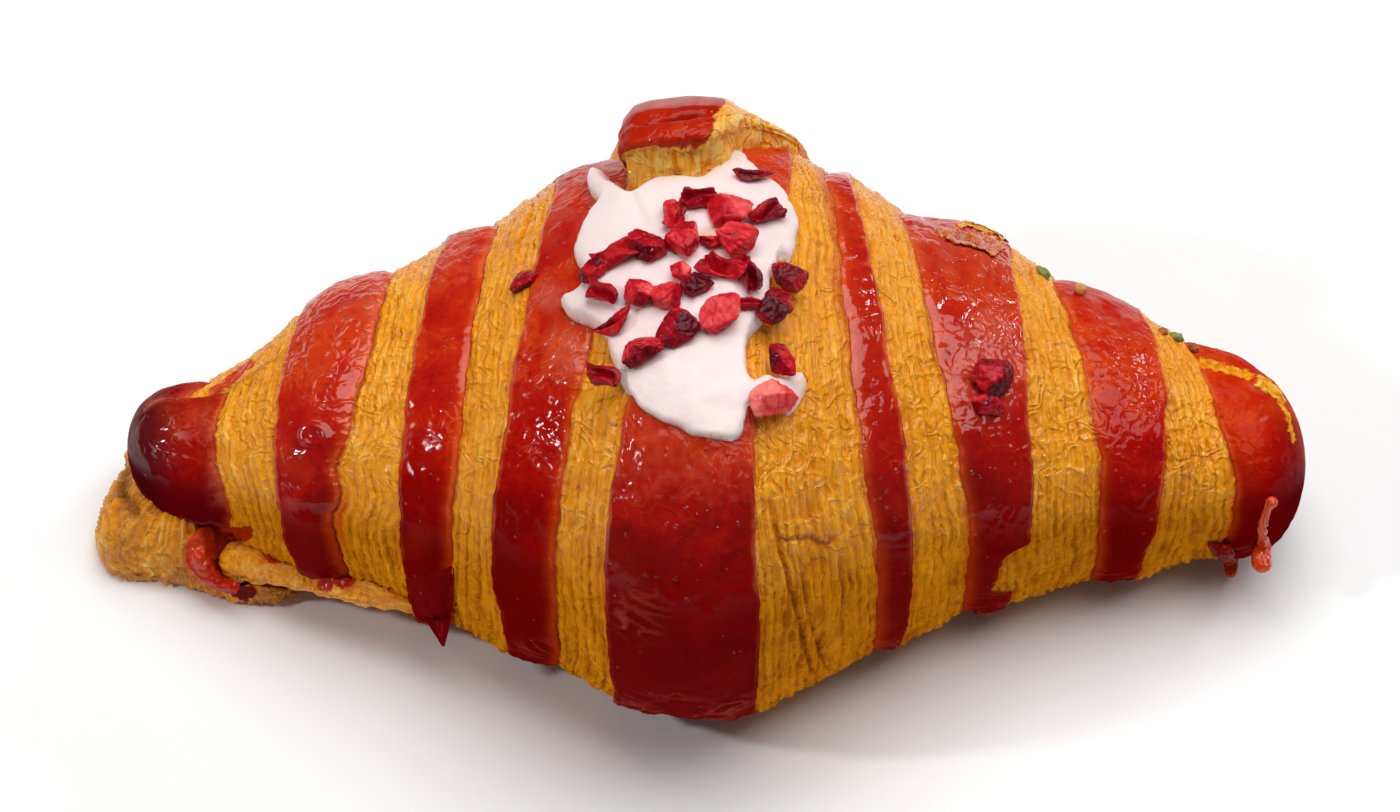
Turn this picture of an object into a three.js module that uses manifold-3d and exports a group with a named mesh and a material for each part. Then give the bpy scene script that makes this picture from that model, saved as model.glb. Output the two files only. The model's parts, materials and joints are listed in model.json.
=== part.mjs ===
// Two-colour laminated croissant with set icing and freeze-dried raspberry on top.
//
// Frame: millimetres, +Z up, +X along the length of the roll, +Y towards the back.
// The origin is the bottom centre of the bounding box, on the plane the loaf rests on.
//
// The loaf is one baked solid. Its skin is a closed tube of super-elliptical sections along X,
// flat underneath, with a saw-tooth relief where each wrap of the rolled sheet ends on the one
// below it. A point of the skin is named by (x, phi): phi = 0 is the underside, 90 the front,
// 180 the top and 270 the back.
import * as THREE from 'three';
import { ParametricGeometry } from 'three/addons/geometries/ParametricGeometry.js';
import { mergeVertices } from 'three/addons/utils/BufferGeometryUtils.js';
import Module from 'manifold-3d';

// ---------------------------------------------------------------- driving dimensions (mm, degrees)
const TIP_L = -80.2;            // left tip of the roll
const TIP_R = 84.4;             // right tip of the roll
const CLOSE_L = -70;            // the left end starts to round over here
const CLOSE_R = 74;             // the right end starts to round over here
const HALF_DEPTH = [            // x, half depth of the section
  [-80.2, 9.5], [-74, 9.9], [-69, 10.8], [-64, 13.1], [-58.5, 16.4], [-53, 19.6], [-47, 22.4],
  [-41, 24.8], [-35, 27.5], [-29, 30.3], [-23, 33.3], [-17, 36.4], [-11, 38.9], [-5, 40.2],
  [2, 40.6], [8, 39.9], [14, 38.1], [20, 35.4], [26, 32.2], [32, 29.5], [38, 27.3], [44, 24.9],
  [50, 22.4], [56, 20.2], [62, 17.9], [68, 15.8], [74, 14.2], [80, 13.2], [84.4, 12.6]];
const AXIS_Y = [                // x, y of the section centre
  [-80.2, 5.6], [-74, 4.7], [-69, 4.6], [-64, 4.4], [-58.5, 4.3], [-53, 4.8], [-47, 5.1],
  [-41, 4.9], [-35, 4.3], [-29, 3.7], [-23, 2.9], [-17, 1.8], [-11, 0.4], [-5, -0.5], [2, -0.8],
  [8, 0.0], [14, 1.4], [20, 2.8], [26, 4.1], [32, 5.3], [38, 6.6], [44, 6.7], [50, 6.2],
  [56, 5.7], [62, 5.0], [68, 4.5], [74, 3.6], [80, 2.4], [84.4, 2.0]];
const RATIO_MID = 0.76;         // height over depth of a section at the centre
const RATIO_END = 0.16;         // and how much rounder it is at the ends
const LIFT_L = 6.0;             // the left end stands this far off the surface
const LIFT_R = 3.0;             // and the right end
const SINK = 3.0;               // how far the round section is flattened underneath
const EXP_TOP = 2.15;           // super-ellipse exponents, upper and lower half
const EXP_BOTTOM = 2.5;
const WRAP_HIGH = 0.85;         // relief where a wrap's red edge stands up
const WRAP_LOW = -0.75;         // relief where the next wrap starts
const CLEAR = 0.3;              // gap between separate pieces that touch
const ICING_T = 1.8;            // icing thickness

// Edges of the red and yellow bands: x at phi = 40, 60, 80 ... 220. Band k lies between edge k
// and edge k+1; even bands are red, odd bands are the yellow cut edge of the sheet.
const EDGES = [
  [-65.5, -65.5, -65.5, -65.4, -66.2, -67.2, -67.5, -66.8, -64.8, -62.4],
  [-55.5, -55.5, -55.5, -56.6, -57.3, -57.6, -57.4, -57.0, -56.1, -54.9],
  [-49.0, -49.0, -49.0, -50.1, -50.0, -48.8, -47.1, -45.4, -44.1, -43.0],
  [-39.1, -39.1, -39.4, -39.9, -40.2, -40.0, -39.4, -38.2, -36.7, -35.3],
  [-34.1, -34.1, -34.0, -33.7, -33.3, -32.7, -31.9, -30.9, -29.8, -28.7],
  [-25.9, -25.9, -26.3, -27.3, -27.2, -26.3, -24.7, -22.8, -21.0, -19.7],
  [-19.5, -19.5, -19.5, -19.7, -19.4, -18.2, -15.9, -13.0, -10.5, -9.9],
  [-11.3, -11.3, -11.4, -12.0, -12.0, -10.7, -7.7, -3.6, 0.3, 2.0],
  [7.2, 7.2, 7.5, 7.6, 7.0, 6.8, 7.7, 9.5, 11.5, 12.5],
  [23.9, 23.9, 24.2, 24.2, 23.2, 21.8, 20.6, 19.6, 18.8, 17.5],
  [26.6, 26.6, 27.8, 28.2, 27.9, 26.8, 25.3, 23.5, 21.8, 20.6],
  [36.3, 36.3, 36.4, 36.6, 36.0, 34.8, 33.2, 31.4, 29.7, 28.2],
  [42.4, 42.4, 42.8, 44.3, 44.7, 44.5, 44.1, 43.6, 43.2, 42.8],
  [54.5, 54.5, 54.8, 55.0, 54.9, 54.4, 53.6, 52.5, 51.1, 49.8],
  [60.3, 60.3, 61.1, 62.0, 62.7, 63.2, 63.4, 63.2, 62.7, 61.6],
  [72.7, 72.7, 72.7, 73.6, 73.7, 73.1, 72.1, 70.8, 69.3, 67.9]];
const CENTRE = 8;               // the outermost wrap's red band
const BAND_EXTRA = { 2: 0.9, 4: 0.3, 7: -0.5, 12: 0.3, 14: 0.3 };   // bands that stand a little higher or lower

// Outline of the icing, in the plane that leans back by ICING_TILT: x and distance up the plane.
const ICING_TILT = 38;
const ICING = [
  [-15.6, 51.2], [-14.2, 51.5], [-13.4, 51.3], [-12.4, 50.0], [-10.4, 48.4], [-9.3, 47.2],
  [-8.1, 48.1], [-6.2, 48.9], [-3.9, 49.3], [-1.9, 49.1], [-0.7, 48.8], [0.7, 49.2], [1.2, 50.2],
  [1.7, 51.8], [2.7, 52.7], [3.9, 53.6], [5.0, 53.4], [6.0, 52.6], [7.6, 51.0], [9.5, 49.4],
  [11.2, 48.2], [12.4, 46.7], [13.3, 45.2], [13.8, 43.7], [13.4, 41.2], [13.0, 39.3], [12.1, 37.5],
  [10.9, 37.3], [10.0, 36.6], [9.6, 34.8], [9.7, 32.5], [8.2, 29.3], [6.8, 28.0], [6.5, 26.0],
  [6.7, 22.8], [7.9, 22.5], [10.4, 22.9], [11.9, 23.0], [13.9, 23.6], [14.8, 22.4], [14.8, 20.8],
  [13.6, 18.6], [12.3, 17.6], [11.3, 18.6], [9.0, 19.0], [7.3, 18.8], [6.5, 18.2], [6.3, 17.0],
  [5.9, 15.5], [5.3, 14.5], [4.4, 14.1], [2.6, 14.3], [0.6, 14.6], [-1.3, 14.9], [-3.2, 16.0],
  [-5.1, 16.7], [-6.9, 17.7], [-8.4, 18.7], [-9.1, 20.1], [-10.4, 20.7], [-11.3, 22.0],
  [-11.9, 23.6], [-12.8, 25.7], [-13.3, 28.2], [-14.3, 29.0], [-16.0, 30.1], [-17.3, 30.5],
  [-18.5, 31.2], [-19.2, 32.8], [-18.6, 33.8], [-17.4, 34.4], [-16.7, 35.2], [-16.3, 36.6],
  [-17.2, 38.2], [-17.6, 39.7], [-17.1, 41.6], [-16.5, 43.4], [-15.7, 45.1], [-14.8, 46.4],
  [-14.7, 47.2], [-15.7, 48.5], [-16.2, 50.1]];

// Raspberry pieces: x, phi, length, width, height, turn in the skin's plane, 1 if on the icing,
// tone (0 dark, 1 coral).
const RASPBERRY = [
  [7.0, 202.5, 5.1, 2.2, 1.3, 18, 1, 0.25], [0.4, 195.0, 5.1, 3.8, 2.2, -20, 1, 0.35],
  [3.8, 191.5, 5.6, 5.6, 3.3, 20, 1, 0.75], [8.0, 191.0, 5.8, 3.5, 2.1, 20, 1, 0.30],
  [-3.1, 190.0, 4.2, 3.8, 2.2, 50, 1, 0.45], [-1.8, 185.0, 5.4, 4.3, 2.5, 60, 1, 0.65],
  [1.2, 184.5, 3.9, 2.2, 1.4, -15, 1, 0.35], [4.6, 184.0, 5.6, 5.0, 3.0, 15, 1, 0.80],
  [-6.6, 183.5, 5.7, 3.8, 2.2, -35, 1, 0.25], [-9.5, 182.5, 7.7, 3.0, 1.8, -10, 1, 0.50],
  [-12.6, 180.0, 4.3, 2.9, 1.7, 15, 1, 0.20], [-11.5, 175.0, 6.1, 3.2, 1.8, -70, 1, 0.45],
  [-2.2, 178.5, 2.9, 2.6, 1.5, -20, 1, 0.70], [-0.4, 176.3, 4.2, 3.3, 1.9, 20, 1, 0.10],
  [2.5, 178.5, 5.4, 3.7, 2.2, -50, 1, 0.60], [5.7, 177.5, 5.0, 3.8, 2.2, 70, 1, 0.30],
  [-7.0, 174.5, 4.2, 4.1, 2.5, 0, 1, 0.60], [-3.7, 174.0, 4.6, 3.9, 2.4, -30, 1, 0.50],
  [2.5, 170.5, 6.4, 4.8, 2.7, 75, 1, 0.85], [6.1, 171.7, 4.0, 2.6, 1.5, 15, 1, 0.45],
  [8.9, 171.0, 5.4, 4.0, 2.4, 70, 1, 0.15], [10.7, 177.5, 4.6, 4.6, 2.7, 20, 1, 0.20],
  [-10.2, 168.5, 5.8, 3.0, 1.8, 22, 1, 0.30], [-2.6, 166.5, 5.7, 4.3, 2.5, 45, 1, 0.10],
  [-6.6, 163.0, 5.5, 4.0, 2.4, 12, 1, 0.30], [-11.5, 158.0, 5.5, 3.2, 1.8, -50, 1, 0.20],
  [9.4, 160.5, 4.9, 3.0, 1.8, -60, 1, 0.30], [8.4, 153.5, 6.7, 4.6, 2.6, 10, 1, 1.00],
  [-23.0, 185.0, 4.6, 2.7, 1.6, 20, 0, 0.15], [38.7, 161.2, 5.8, 5.4, 3.2, 30, 0, 0.40],
  [38.5, 152.3, 4.6, 3.3, 1.9, 10, 0, 0.70]];

// Loose crumbs on the back of the right half: name, x, phi, length, width, height, colour.
const CRUMBS = [
  ['pistachio_crumb_1', 47.8, 219, 2.4, 1.7, 1.4, 0x6f7f2c],
  ['pistachio_crumb_2', 66.4, 217, 2.6, 1.7, 1.4, 0x778034],
  ['dough_crumb_1', 64.4, 214, 1.9, 1.4, 1.1, 0x8a3313],
  ['dough_crumb_2', 68.9, 215, 2.2, 1.6, 1.2, 0xb9692a]];
const PEARL = [52.6, 214, 1.8]; // x, phi, diameter

// ---------------------------------------------------------------- small maths
const rad = d => d * Math.PI / 180;
const clamp = (t, a, b) => Math.min(b, Math.max(a, t));
const smooth = t => { t = clamp(t, 0, 1); return t * t * (3 - 2 * t); };
const lerp = (a, b, t) => a + (b - a) * t;

// Cubic Hermite curve through a table of [x, value], with second-order slopes.
function curve(table) {
  const xs = table.map(p => p[0]), ys = table.map(p => p[1]), n = xs.length;
  const m = ys.map((_, i) => {
    if (i === 0) return (ys[1] - ys[0]) / (xs[1] - xs[0]);
    if (i === n - 1) return (ys[n - 1] - ys[n - 2]) / (xs[n - 1] - xs[n - 2]);
    const hs = xs[i] - xs[i - 1], hd = xs[i + 1] - xs[i];
    return (hs * hs * ys[i + 1] + (hd * hd - hs * hs) * ys[i] - hd * hd * ys[i - 1]) /
      (hs * hd * (hd + hs));
  });
  return x => {
    x = clamp(x, xs[0], xs[n - 1]);
    let i = 0; while (i < n - 2 && x > xs[i + 1]) i++;
    const h = xs[i + 1] - xs[i], t = (x - xs[i]) / h, t2 = t * t, t3 = t2 * t;
    return (2 * t3 - 3 * t2 + 1) * ys[i] + (t3 - 2 * t2 + t) * h * m[i] +
      (3 * t2 - 2 * t3) * ys[i + 1] + (t3 - t2) * h * m[i + 1];
  };
}
const halfDepth = curve(HALF_DEPTH), axisY = curve(AXIS_Y);

// ---------------------------------------------------------------- the loaf's smooth skin
function closing(x) {           // 1 along the roll, falling to 0 at the tips like a round nose
  const l = clamp((CLOSE_L - x) / (CLOSE_L - TIP_L), 0, 1);
  const r = clamp((x - CLOSE_R) / (TIP_R - CLOSE_R), 0, 1);
  return Math.sqrt(1 - l * l) * Math.sqrt(1 - r * r);
}
function skin(x, phi) {
  const full = halfDepth(x), c = closing(x), ratio = RATIO_MID + RATIO_END * (x / 82) ** 2;
  const a = full * c, b = ratio * a, bf = ratio * full;
  const lift = x < 0 ? LIFT_L * smooth((-x - 35) / 42) : LIFT_R * smooth((x - 35) / 45);
  const zc = lift + bf - SINK * Math.sqrt(clamp(1 - Math.abs(x) / 82, 0, 1));
  const base = c < 1 ? Math.max(lift, zc - b) : lift;
  const sy = -Math.sin(rad(phi)), sz = -Math.cos(rad(phi)), e = 2 / (sz > 0 ? EXP_TOP : EXP_BOTTOM);
  const y = axisY(x) + a * Math.sign(sy) * Math.abs(sy) ** e;
  const z = Math.max(zc + b * Math.sign(sz) * Math.abs(sz) ** e, base);
  return new THREE.Vector3(x, y, z);
}
function skinNormal(x, phi) {
  const h = 0.4, xa = clamp(x - h, TIP_L + 0.5, TIP_R - 0.5), xb = clamp(x + h, TIP_L + 0.6, TIP_R - 0.4);
  const du = skin(xb, phi).sub(skin(xa, phi)), dv = skin(x, phi + 0.8).sub(skin(x, phi - 0.8));
  return du.cross(dv).normalize();
}
const raised = (x, phi, d) => skin(x, phi).addScaledVector(skinNormal(x, phi), d);

// ---------------------------------------------------------------- bands and their relief
function edge(k, phi) {         // x of band edge k; k = 0 and 17 are the tips
  if (k <= 0) return TIP_L;
  if (k >= 17) return TIP_R;
  const t = EDGES[k - 1]; phi = ((phi % 360) + 360) % 360;
  if (phi <= 40 || phi >= 320) return t[0];
  if (phi <= 220) { const f = (phi - 40) / 20, i = Math.min(8, Math.floor(f)); return lerp(t[i], t[i + 1], f - i); }
  return lerp(t[9], t[0], smooth((phi - 220) / 100));
}
function relief(s) {            // height of the wrapped skin at band coordinate s
  const k = clamp(Math.floor(s), 0, 16), t = clamp(s - k, 0, 1), red = k % 2 === 0;
  if (k === CENTRE) return WRAP_HIGH;
  const inward = k < CENTRE ? t : 1 - t;      // 0 at the side nearer the tip, 1 nearer the centre
  const extra = (BAND_EXTRA[k] ?? 0) * Math.sin(Math.PI * clamp(0.15 + 0.7 * t, 0, 1));
  return extra + (red ? lerp(WRAP_HIGH, WRAP_LOW, inward) + 0.25 * Math.sin(Math.PI * t)
                      : lerp(WRAP_LOW, WRAP_HIGH - 0.5, inward));
}
function reliefAt(x, phi) {     // the same, at a place on the skin
  let k = 0; while (k < 16 && x > edge(k + 1, phi)) k++;
  const s = k + (x - edge(k, phi)) / (edge(k + 1, phi) - edge(k, phi));
  return relief(s) * reliefFade(phi) * closing(x);
}
const reliefFade = phi => smooth((Math.min(phi, 360 - phi) - 28) / 30);
function wrapped(s, phi, grow) {
  const k = clamp(Math.floor(s), 0, 16), t = s - k;
  let f = t;
  if (k === 0) f = 1 - Math.cos(t * Math.PI / 2);
  if (k === 16) f = Math.sin(t * Math.PI / 2);
  const x = lerp(edge(k, phi), edge(k + 1, phi), f);
  const d = relief(s) * reliefFade(phi) * closing(x) + grow;
  const p = raised(x, phi, d), q = skin(x, phi), flat = skin(x, 0).z - grow;
  if (s <= 0 || s >= 17) return new THREE.Vector3(x + (s <= 0 ? -grow : grow), q.y, q.z);
  p.z = Math.max(p.z, flat);
  return p;
}
const COLUMNS = [0, 0.12, 0.26, 0.42, 0.6, 0.8, 0.95];
for (let k = 1; k <= 15; k++) COLUMNS.push(k + 0.05, ...(k === 8 || k === 9 ? [k + 0.3, k + 0.5, k + 0.7] : [k + 0.5]), k + 0.95);
COLUMNS.push(16.05, 16.2, 16.4, 16.58, 16.74, 16.88, 17);
const AROUND = 36;

// ---------------------------------------------------------------- solids
const wasm = await Module(); wasm.setup();

function weld(geometry) {       // shared corners, no slivers, faces pointing out
  let g = geometry.index ? geometry.toNonIndexed() : geometry.clone();
  for (const a of Object.keys(g.attributes)) if (a !== 'position') g.deleteAttribute(a);
  g = mergeVertices(g, 1e-4);
  const p = g.getAttribute('position'), idx = g.index.array, keep = [];
  for (let i = 0; i < idx.length; i += 3) {
    const [a, b, c] = [idx[i], idx[i + 1], idx[i + 2]];
    if (a !== b && b !== c && c !== a) keep.push(a, b, c);
  }
  let v = 0;
  const A = new THREE.Vector3(), B = new THREE.Vector3(), C = new THREE.Vector3();
  for (let i = 0; i < keep.length; i += 3) {
    A.fromBufferAttribute(p, keep[i]); B.fromBufferAttribute(p, keep[i + 1]); C.fromBufferAttribute(p, keep[i + 2]);
    v += A.dot(B.cross(C));
  }
  if (v < 0) for (let i = 0; i < keep.length; i += 3) [keep[i + 1], keep[i + 2]] = [keep[i + 2], keep[i + 1]];
  return { vertProperties: new Float32Array(p.array), triVerts: new Uint32Array(keep) };
}
const solid = geometry => new wasm.Manifold(new wasm.Mesh({ numProp: 3, ...weld(geometry) }));
function geometryOf(body) {
  const m = body.getMesh(), g = new THREE.BufferGeometry();
  g.setAttribute('position', new THREE.BufferAttribute(new Float32Array(m.vertProperties), 3));
  g.setIndex(new THREE.BufferAttribute(new Uint32Array(m.triVerts), 1));
  g.computeVertexNormals();
  return g;
}
function sheet(fn, slices, stacks) {
  return new ParametricGeometry((u, v, out) => out.copy(fn(u, v)), slices, stacks);
}
// A closed slab between two surfaces over the same (u, v) square: v runs over the top, then back
// underneath, and the two side walls close because both surfaces meet at u = 0 and 1.
function slab(top, bottom, nu, nv) {
  const around = 2 * (nv + 1);
  return sheet((u, v) => {
    const j = Math.round(v * around) % around, row = Math.round(u * (nu + 2));
    const uu = clamp((row - 1) / nu, 0, 1);
    const isTop = j <= nv, vv = isTop ? j / nv : (around - 1 - j) / nv;
    if (row === 0 || row === nu + 2) {          // end walls: fold the ring onto its lower side
      return bottom(uu, vv);
    }
    return isTop ? top(uu, vv) : bottom(uu, vv);
  }, nu + 2, around);
}
function loafGeometry(grow) {
  const n = COLUMNS.length - 1;
  return sheet((u, v) => wrapped(COLUMNS[Math.round(u * n)], (Math.round(v * AROUND) % AROUND) * 360 / AROUND, grow), n, AROUND);
}

// The free end of the dough strip: comes over the back, ends on top, about 7 mm thick there.
const TONGUE_H = curve([[-10.6, 5.9], [-8, 6.8], [-3, 7.2], [1, 6.9], [4, 5.7], [7, 4.4], [10, 2.7], [13, 0.9]]);
function tongue(u, v, top) {
  const phi = lerp(203, 318, v), wide = smooth((phi - 235) / 80);
  const xl = -10.6 - 7.5 * wide, xr = 12.6 + 11 * wide, x = lerp(xl, xr, u);
  const ref = lerp(-10.6, 12.6, u);
  const taper = 1 - smooth((phi - 226) / 84);
  const nose = Math.sqrt(clamp((phi - 202.6) / 5.5, 0, 1));
  const side = Math.sqrt(clamp(Math.min(u, 1 - u) * 9 + 0.25, 0, 1));
  return raised(x, phi, top ? TONGUE_H(ref) * taper * side * (0.72 + 0.28 * nose) - 0.2 : -2.5);
}
// The flattened inner end of the roll under the left tip, and other lumps that stand on the
// base plane: a dome over a closed outline.
function mound(outline, centre, height, z0, nr, na) {
  const path = new THREE.CatmullRomCurve3(outline.map(p => new THREE.Vector3(p[0], p[1], 0)), true);
  const pts = path.getSpacedPoints(na);
  return sheet((u, v) => {
    const i = Math.round(u * 2 * nr), p = pts[Math.round(v * na) % na];
    const up = i <= nr, r = up ? Math.sin(i / nr * Math.PI / 2) : Math.sin((2 * nr - i) / nr * Math.PI / 2);
    const z = up ? z0 + 1.2 + (height - 1.2) * Math.sqrt(Math.max(0, 1 - r ** 3)) : z0 + 1.2 * Math.max(0, r - 0.82) / 0.18;
    return new THREE.Vector3(lerp(centre[0], p.x, r), lerp(centre[1], p.y, r), z);
  }, 2 * nr, na);
}
// A rope of dough with round ends along a smooth curve; r is its radius at each point.
function rope(points, radii, steps, sides) {
  const path = new THREE.CatmullRomCurve3(points.map(p => new THREE.Vector3(...p)));
  const rs = curve(radii.map((r, i) => [i / (radii.length - 1), r]));
  const up = new THREE.Vector3(0, 0, 1);
  return sheet((u, v) => {
    const i = Math.round(u * steps), t = clamp((i - 1) / (steps - 2), 0, 1), end = i === 0 ? -1 : i === steps ? 1 : 0;
    const p = path.getPoint(t), tan = path.getTangent(t).normalize(), r = rs(t);
    if (end) return p.addScaledVector(tan, end * r * 0.6);
    const side = new THREE.Vector3().crossVectors(tan, up).normalize(), top = new THREE.Vector3().crossVectors(side, tan);
    const w = 2 * Math.PI * (Math.round(v * sides) % sides) / sides, k = (i === 1 || i === steps - 1) ? 0.75 : 1;
    return p.addScaledVector(side, Math.cos(w) * r * k).addScaledVector(top, Math.sin(w) * r * k);
  }, steps, sides);
}

let loaf = solid(loafGeometry(0));
const lumps = [
  slab((u, v) => tongue(u, v, true), (u, v) => tongue(u, v, false), 9, 12),
  mound([[-79.2, 14.8], [-82.2, 10.6], [-83.9, 5.4], [-84.9, 0.0], [-84.6, -4.2], [-82.4, -7.0], [-77.5, -8.0],
         [-71.5, -9.6], [-66.0, -11.4], [-60.0, -12.0], [-55.5, -6], [-59, 8], [-69, 14.5]], [-71, 1.5], 12.8, 0, 4, 26),
  rope([[-66.4, -8.4, 4.6], [-63.1, -8.7, 4.3], [-58.9, -9.5, 3.4], [-54.7, -10.1, 2.9], [-49.8, -11.0, 2.6],
        [-44.9, -12.0, 2.4], [-40.3, -13.4, 2.2], [-36.3, -15.4, 2.2]],
       [2.6, 2.9, 2.2, 1.8, 1.7, 1.7, 1.6, 1.4], 18, 10),
  rope([[76.6, -8.9, 15.6], [77.4, -10.2, 12.0], [78.0, -10.0, 8.0], [77.9, -9.0, 5.0], [77.4, -8.5, 3.4]],
       [1.7, 1.0, 1.0, 1.2, 1.0], 9, 8),
  rope([[78.9, -9.0, 8.0], [79.6, -8.8, 5.8], [79.8, -8.5, 3.8]], [1.1, 1.4, 1.2], 6, 8),
  rope([[71.0, -8.2, 7.6], [72.6, -8.2, 5.9], [74.7, -8.4, 4.3], [75.6, -8.4, 3.2]], [1.7, 1.7, 1.4, 1.0], 7, 8),
  rope([[-38.9, -13.2, 6.0], [-37.4, -14.8, 4.8], [-36.3, -16.8, 3.0], [-35.8, -18.3, 1.8]], [2.4, 2.1, 1.5, 0.7], 7, 8),
];
for (const g of lumps) loaf = loaf.add(solid(g));
// Everything rests on one plane, so nothing reaches below it.
const floor = new THREE.BoxGeometry(260, 200, 40); floor.translate(0, 0, -20);
loaf = loaf.subtract(solid(floor));

// A copy of the loaf that is larger by the clearance, used to keep the toppings off it.
let loafGrown = solid(loafGeometry(CLEAR));
loafGrown = loafGrown.add(solid(slab(
  (u, v) => { const p = tongue(u, v, true); return p.addScaledVector(skinNormal(p.x, lerp(203, 318, v)), CLEAR); },
  (u, v) => tongue(lerp(-0.03, 1.03, u), v === 0 ? -0.012 : v, false), 9, 12)));

// ---------------------------------------------------------------- icing
const [ICE_X0, ICE_X1, ICE_P0, ICE_P1] = [-21, 17, 141, 219];
const patch = slab(
  (u, v) => raised(lerp(ICE_X0, ICE_X1, u), lerp(ICE_P0, ICE_P1, v), WRAP_HIGH * 0.6 + CLEAR + ICING_T),
  (u, v) => raised(lerp(ICE_X0, ICE_X1, u), lerp(ICE_P0, ICE_P1, v), -1.5), 13, 14);
const outline = new THREE.Shape(ICING.map(p => new THREE.Vector2(...p)));
const prism = new THREE.ExtrudeGeometry(outline, { depth: 120, bevelEnabled: false, curveSegments: 1 });
prism.rotateX(rad(ICING_TILT));           // the outline's plane leans back
const tilt = rad(ICING_TILT);
prism.translate(0, 40 * Math.sin(tilt), -40 * Math.cos(tilt));
let icing = solid(patch).intersect(solid(prism)).subtract(loafGrown);
// keep the one pool; crumbs of it cut off by the relief are not pieces of their own
icing = icing.decompose().sort((a, b) => b.volume() - a.volume())[0];

// ---------------------------------------------------------------- toppings
function random(seed) { let s = seed >>> 0; return () => { s = (s * 1664525 + 1013904223) >>> 0; return s / 4294967296; }; }
function crumbGeometry(seed, l, w, h, detail = 0, rough = 0.24) {
  const g = new THREE.IcosahedronGeometry(1, detail), rnd = random(seed), seen = new Map();
  const p = g.getAttribute('position');
  for (let i = 0; i < p.count; i++) {
    const key = [p.getX(i), p.getY(i), p.getZ(i)].map(c => Math.round(c * 1e3)).join();
    if (!seen.has(key)) seen.set(key, 1.12 - rough * rnd());
    const f = seen.get(key);
    p.setXYZ(i, p.getX(i) * f * l / 2, p.getY(i) * f * w / 2, Math.max(-0.8, p.getZ(i) * f) * h / 2);
  }
  return g;
}
function seat(geometry, x, phi, lift, turn) { // stand a piece on the skin, turned in its plane
  const n = skinNormal(x, phi), e1 = new THREE.Vector3(1, 0, 0);
  e1.addScaledVector(n, -e1.dot(n)).normalize();
  const e2 = new THREE.Vector3().crossVectors(n, e1);
  const m = new THREE.Matrix4().makeBasis(e1, e2, n).multiply(new THREE.Matrix4().makeRotationZ(rad(turn)));
  m.setPosition(raised(x, phi, lift));
  geometry.applyMatrix4(m);
  return geometry;
}
const group = new THREE.Group();
const nodes = [];
const add = (name, body, color, roughness) => nodes.push({ name, body, color, roughness });
add('croissant', loaf, 0xb5621c, 0.38);
add('icing', icing, 0xf6e6e2, 0.3);

const dark = new THREE.Color(0x5c0713), coral = new THREE.Color(0xdd5a5c);
const placed = [];
const keepOff = (body, box) => {
  for (const o of placed) if (o.box.intersectsBox(box)) body = body.subtract(o.grown);
  return body;
};
function place(name, make, x, phi, lift, turn, color, roughness, onIcing) {
  const g = seat(make(0), x, phi, lift, turn), grown = seat(make(CLEAR), x, phi, lift, turn);
  g.computeBoundingBox(); grown.computeBoundingBox();
  let body = keepOff(solid(g), g.boundingBox);
  body = body.subtract(loafGrown);
  if (onIcing) body = body.subtract(icingGrown);
  body = body.decompose().sort((a, b) => b.volume() - a.volume())[0];
  placed.push({ box: grown.boundingBox, grown: solid(grown) });
  add(name, body, color, roughness);
}
// The icing grown by the clearance, as far as the toppings see it.
const patchGrown = slab(
  (u, v) => raised(lerp(ICE_X0, ICE_X1, u), lerp(ICE_P0, ICE_P1, v), WRAP_HIGH * 0.6 + 2 * CLEAR + ICING_T),
  (u, v) => raised(lerp(ICE_X0, ICE_X1, u), lerp(ICE_P0, ICE_P1, v), -1.5), 13, 14);
const prismGrown = new THREE.ExtrudeGeometry(outline, { depth: 120, bevelEnabled: true, bevelThickness: 0.1, bevelSize: 0.35, bevelSegments: 1, curveSegments: 1 });
prismGrown.rotateX(rad(ICING_TILT)); prismGrown.translate(0, 40 * Math.sin(tilt), -40 * Math.cos(tilt));
const icingGrown = solid(patchGrown).intersect(solid(prismGrown));

RASPBERRY.forEach(([x, phi, l, w, h, turn, on, tone], i) => {
  const name = 'raspberry_piece_' + String(i + 1).padStart(2, '0');
  const seatAt = on ? WRAP_HIGH * 0.6 + 2 * CLEAR + ICING_T : reliefAt(x, phi) + CLEAR + 0.1;
  place(name, grow => crumbGeometry(101 + i * 7, l + 2 * grow, w + 2 * grow, h + 2 * grow), x, phi,
    seatAt + 0.36 * h, turn, dark.clone().lerp(coral, tone), 0.55, true);
});
CRUMBS.forEach(([name, x, phi, l, w, h, colour], i) =>
  place(name, grow => crumbGeometry(901 + i * 11, l + 2 * grow, w + 2 * grow, h + 2 * grow), x, phi,
    reliefAt(x, phi) + CLEAR + 0.4 * h, 30 * i, new THREE.Color(colour), 0.7, false));
place('sugar_pearl', grow => new THREE.IcosahedronGeometry(PEARL[2] / 2 + grow, 1), PEARL[0], PEARL[1],
  reliefAt(PEARL[0], PEARL[1]) + CLEAR + 0.46 * PEARL[2], 0, new THREE.Color(0xd9a05a), 0.4, false);

// ---------------------------------------------------------------- into the frame
const lo = new THREE.Vector3(Infinity, Infinity, Infinity), hi = lo.clone().negate();
for (const n of nodes) {
  const b = n.body.boundingBox();
  lo.min(new THREE.Vector3(...b.min)); hi.max(new THREE.Vector3(...b.max));
}
for (const { name, body, color, roughness } of nodes) {
  const mesh = new THREE.Mesh(geometryOf(body), new THREE.MeshStandardMaterial({ color, roughness, metalness: 0 }));
  mesh.name = name;
  group.add(mesh);
}
group.position.set(-(lo.x + hi.x) / 2, -(lo.y + hi.y) / 2, -lo.z);

export default group;
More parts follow.
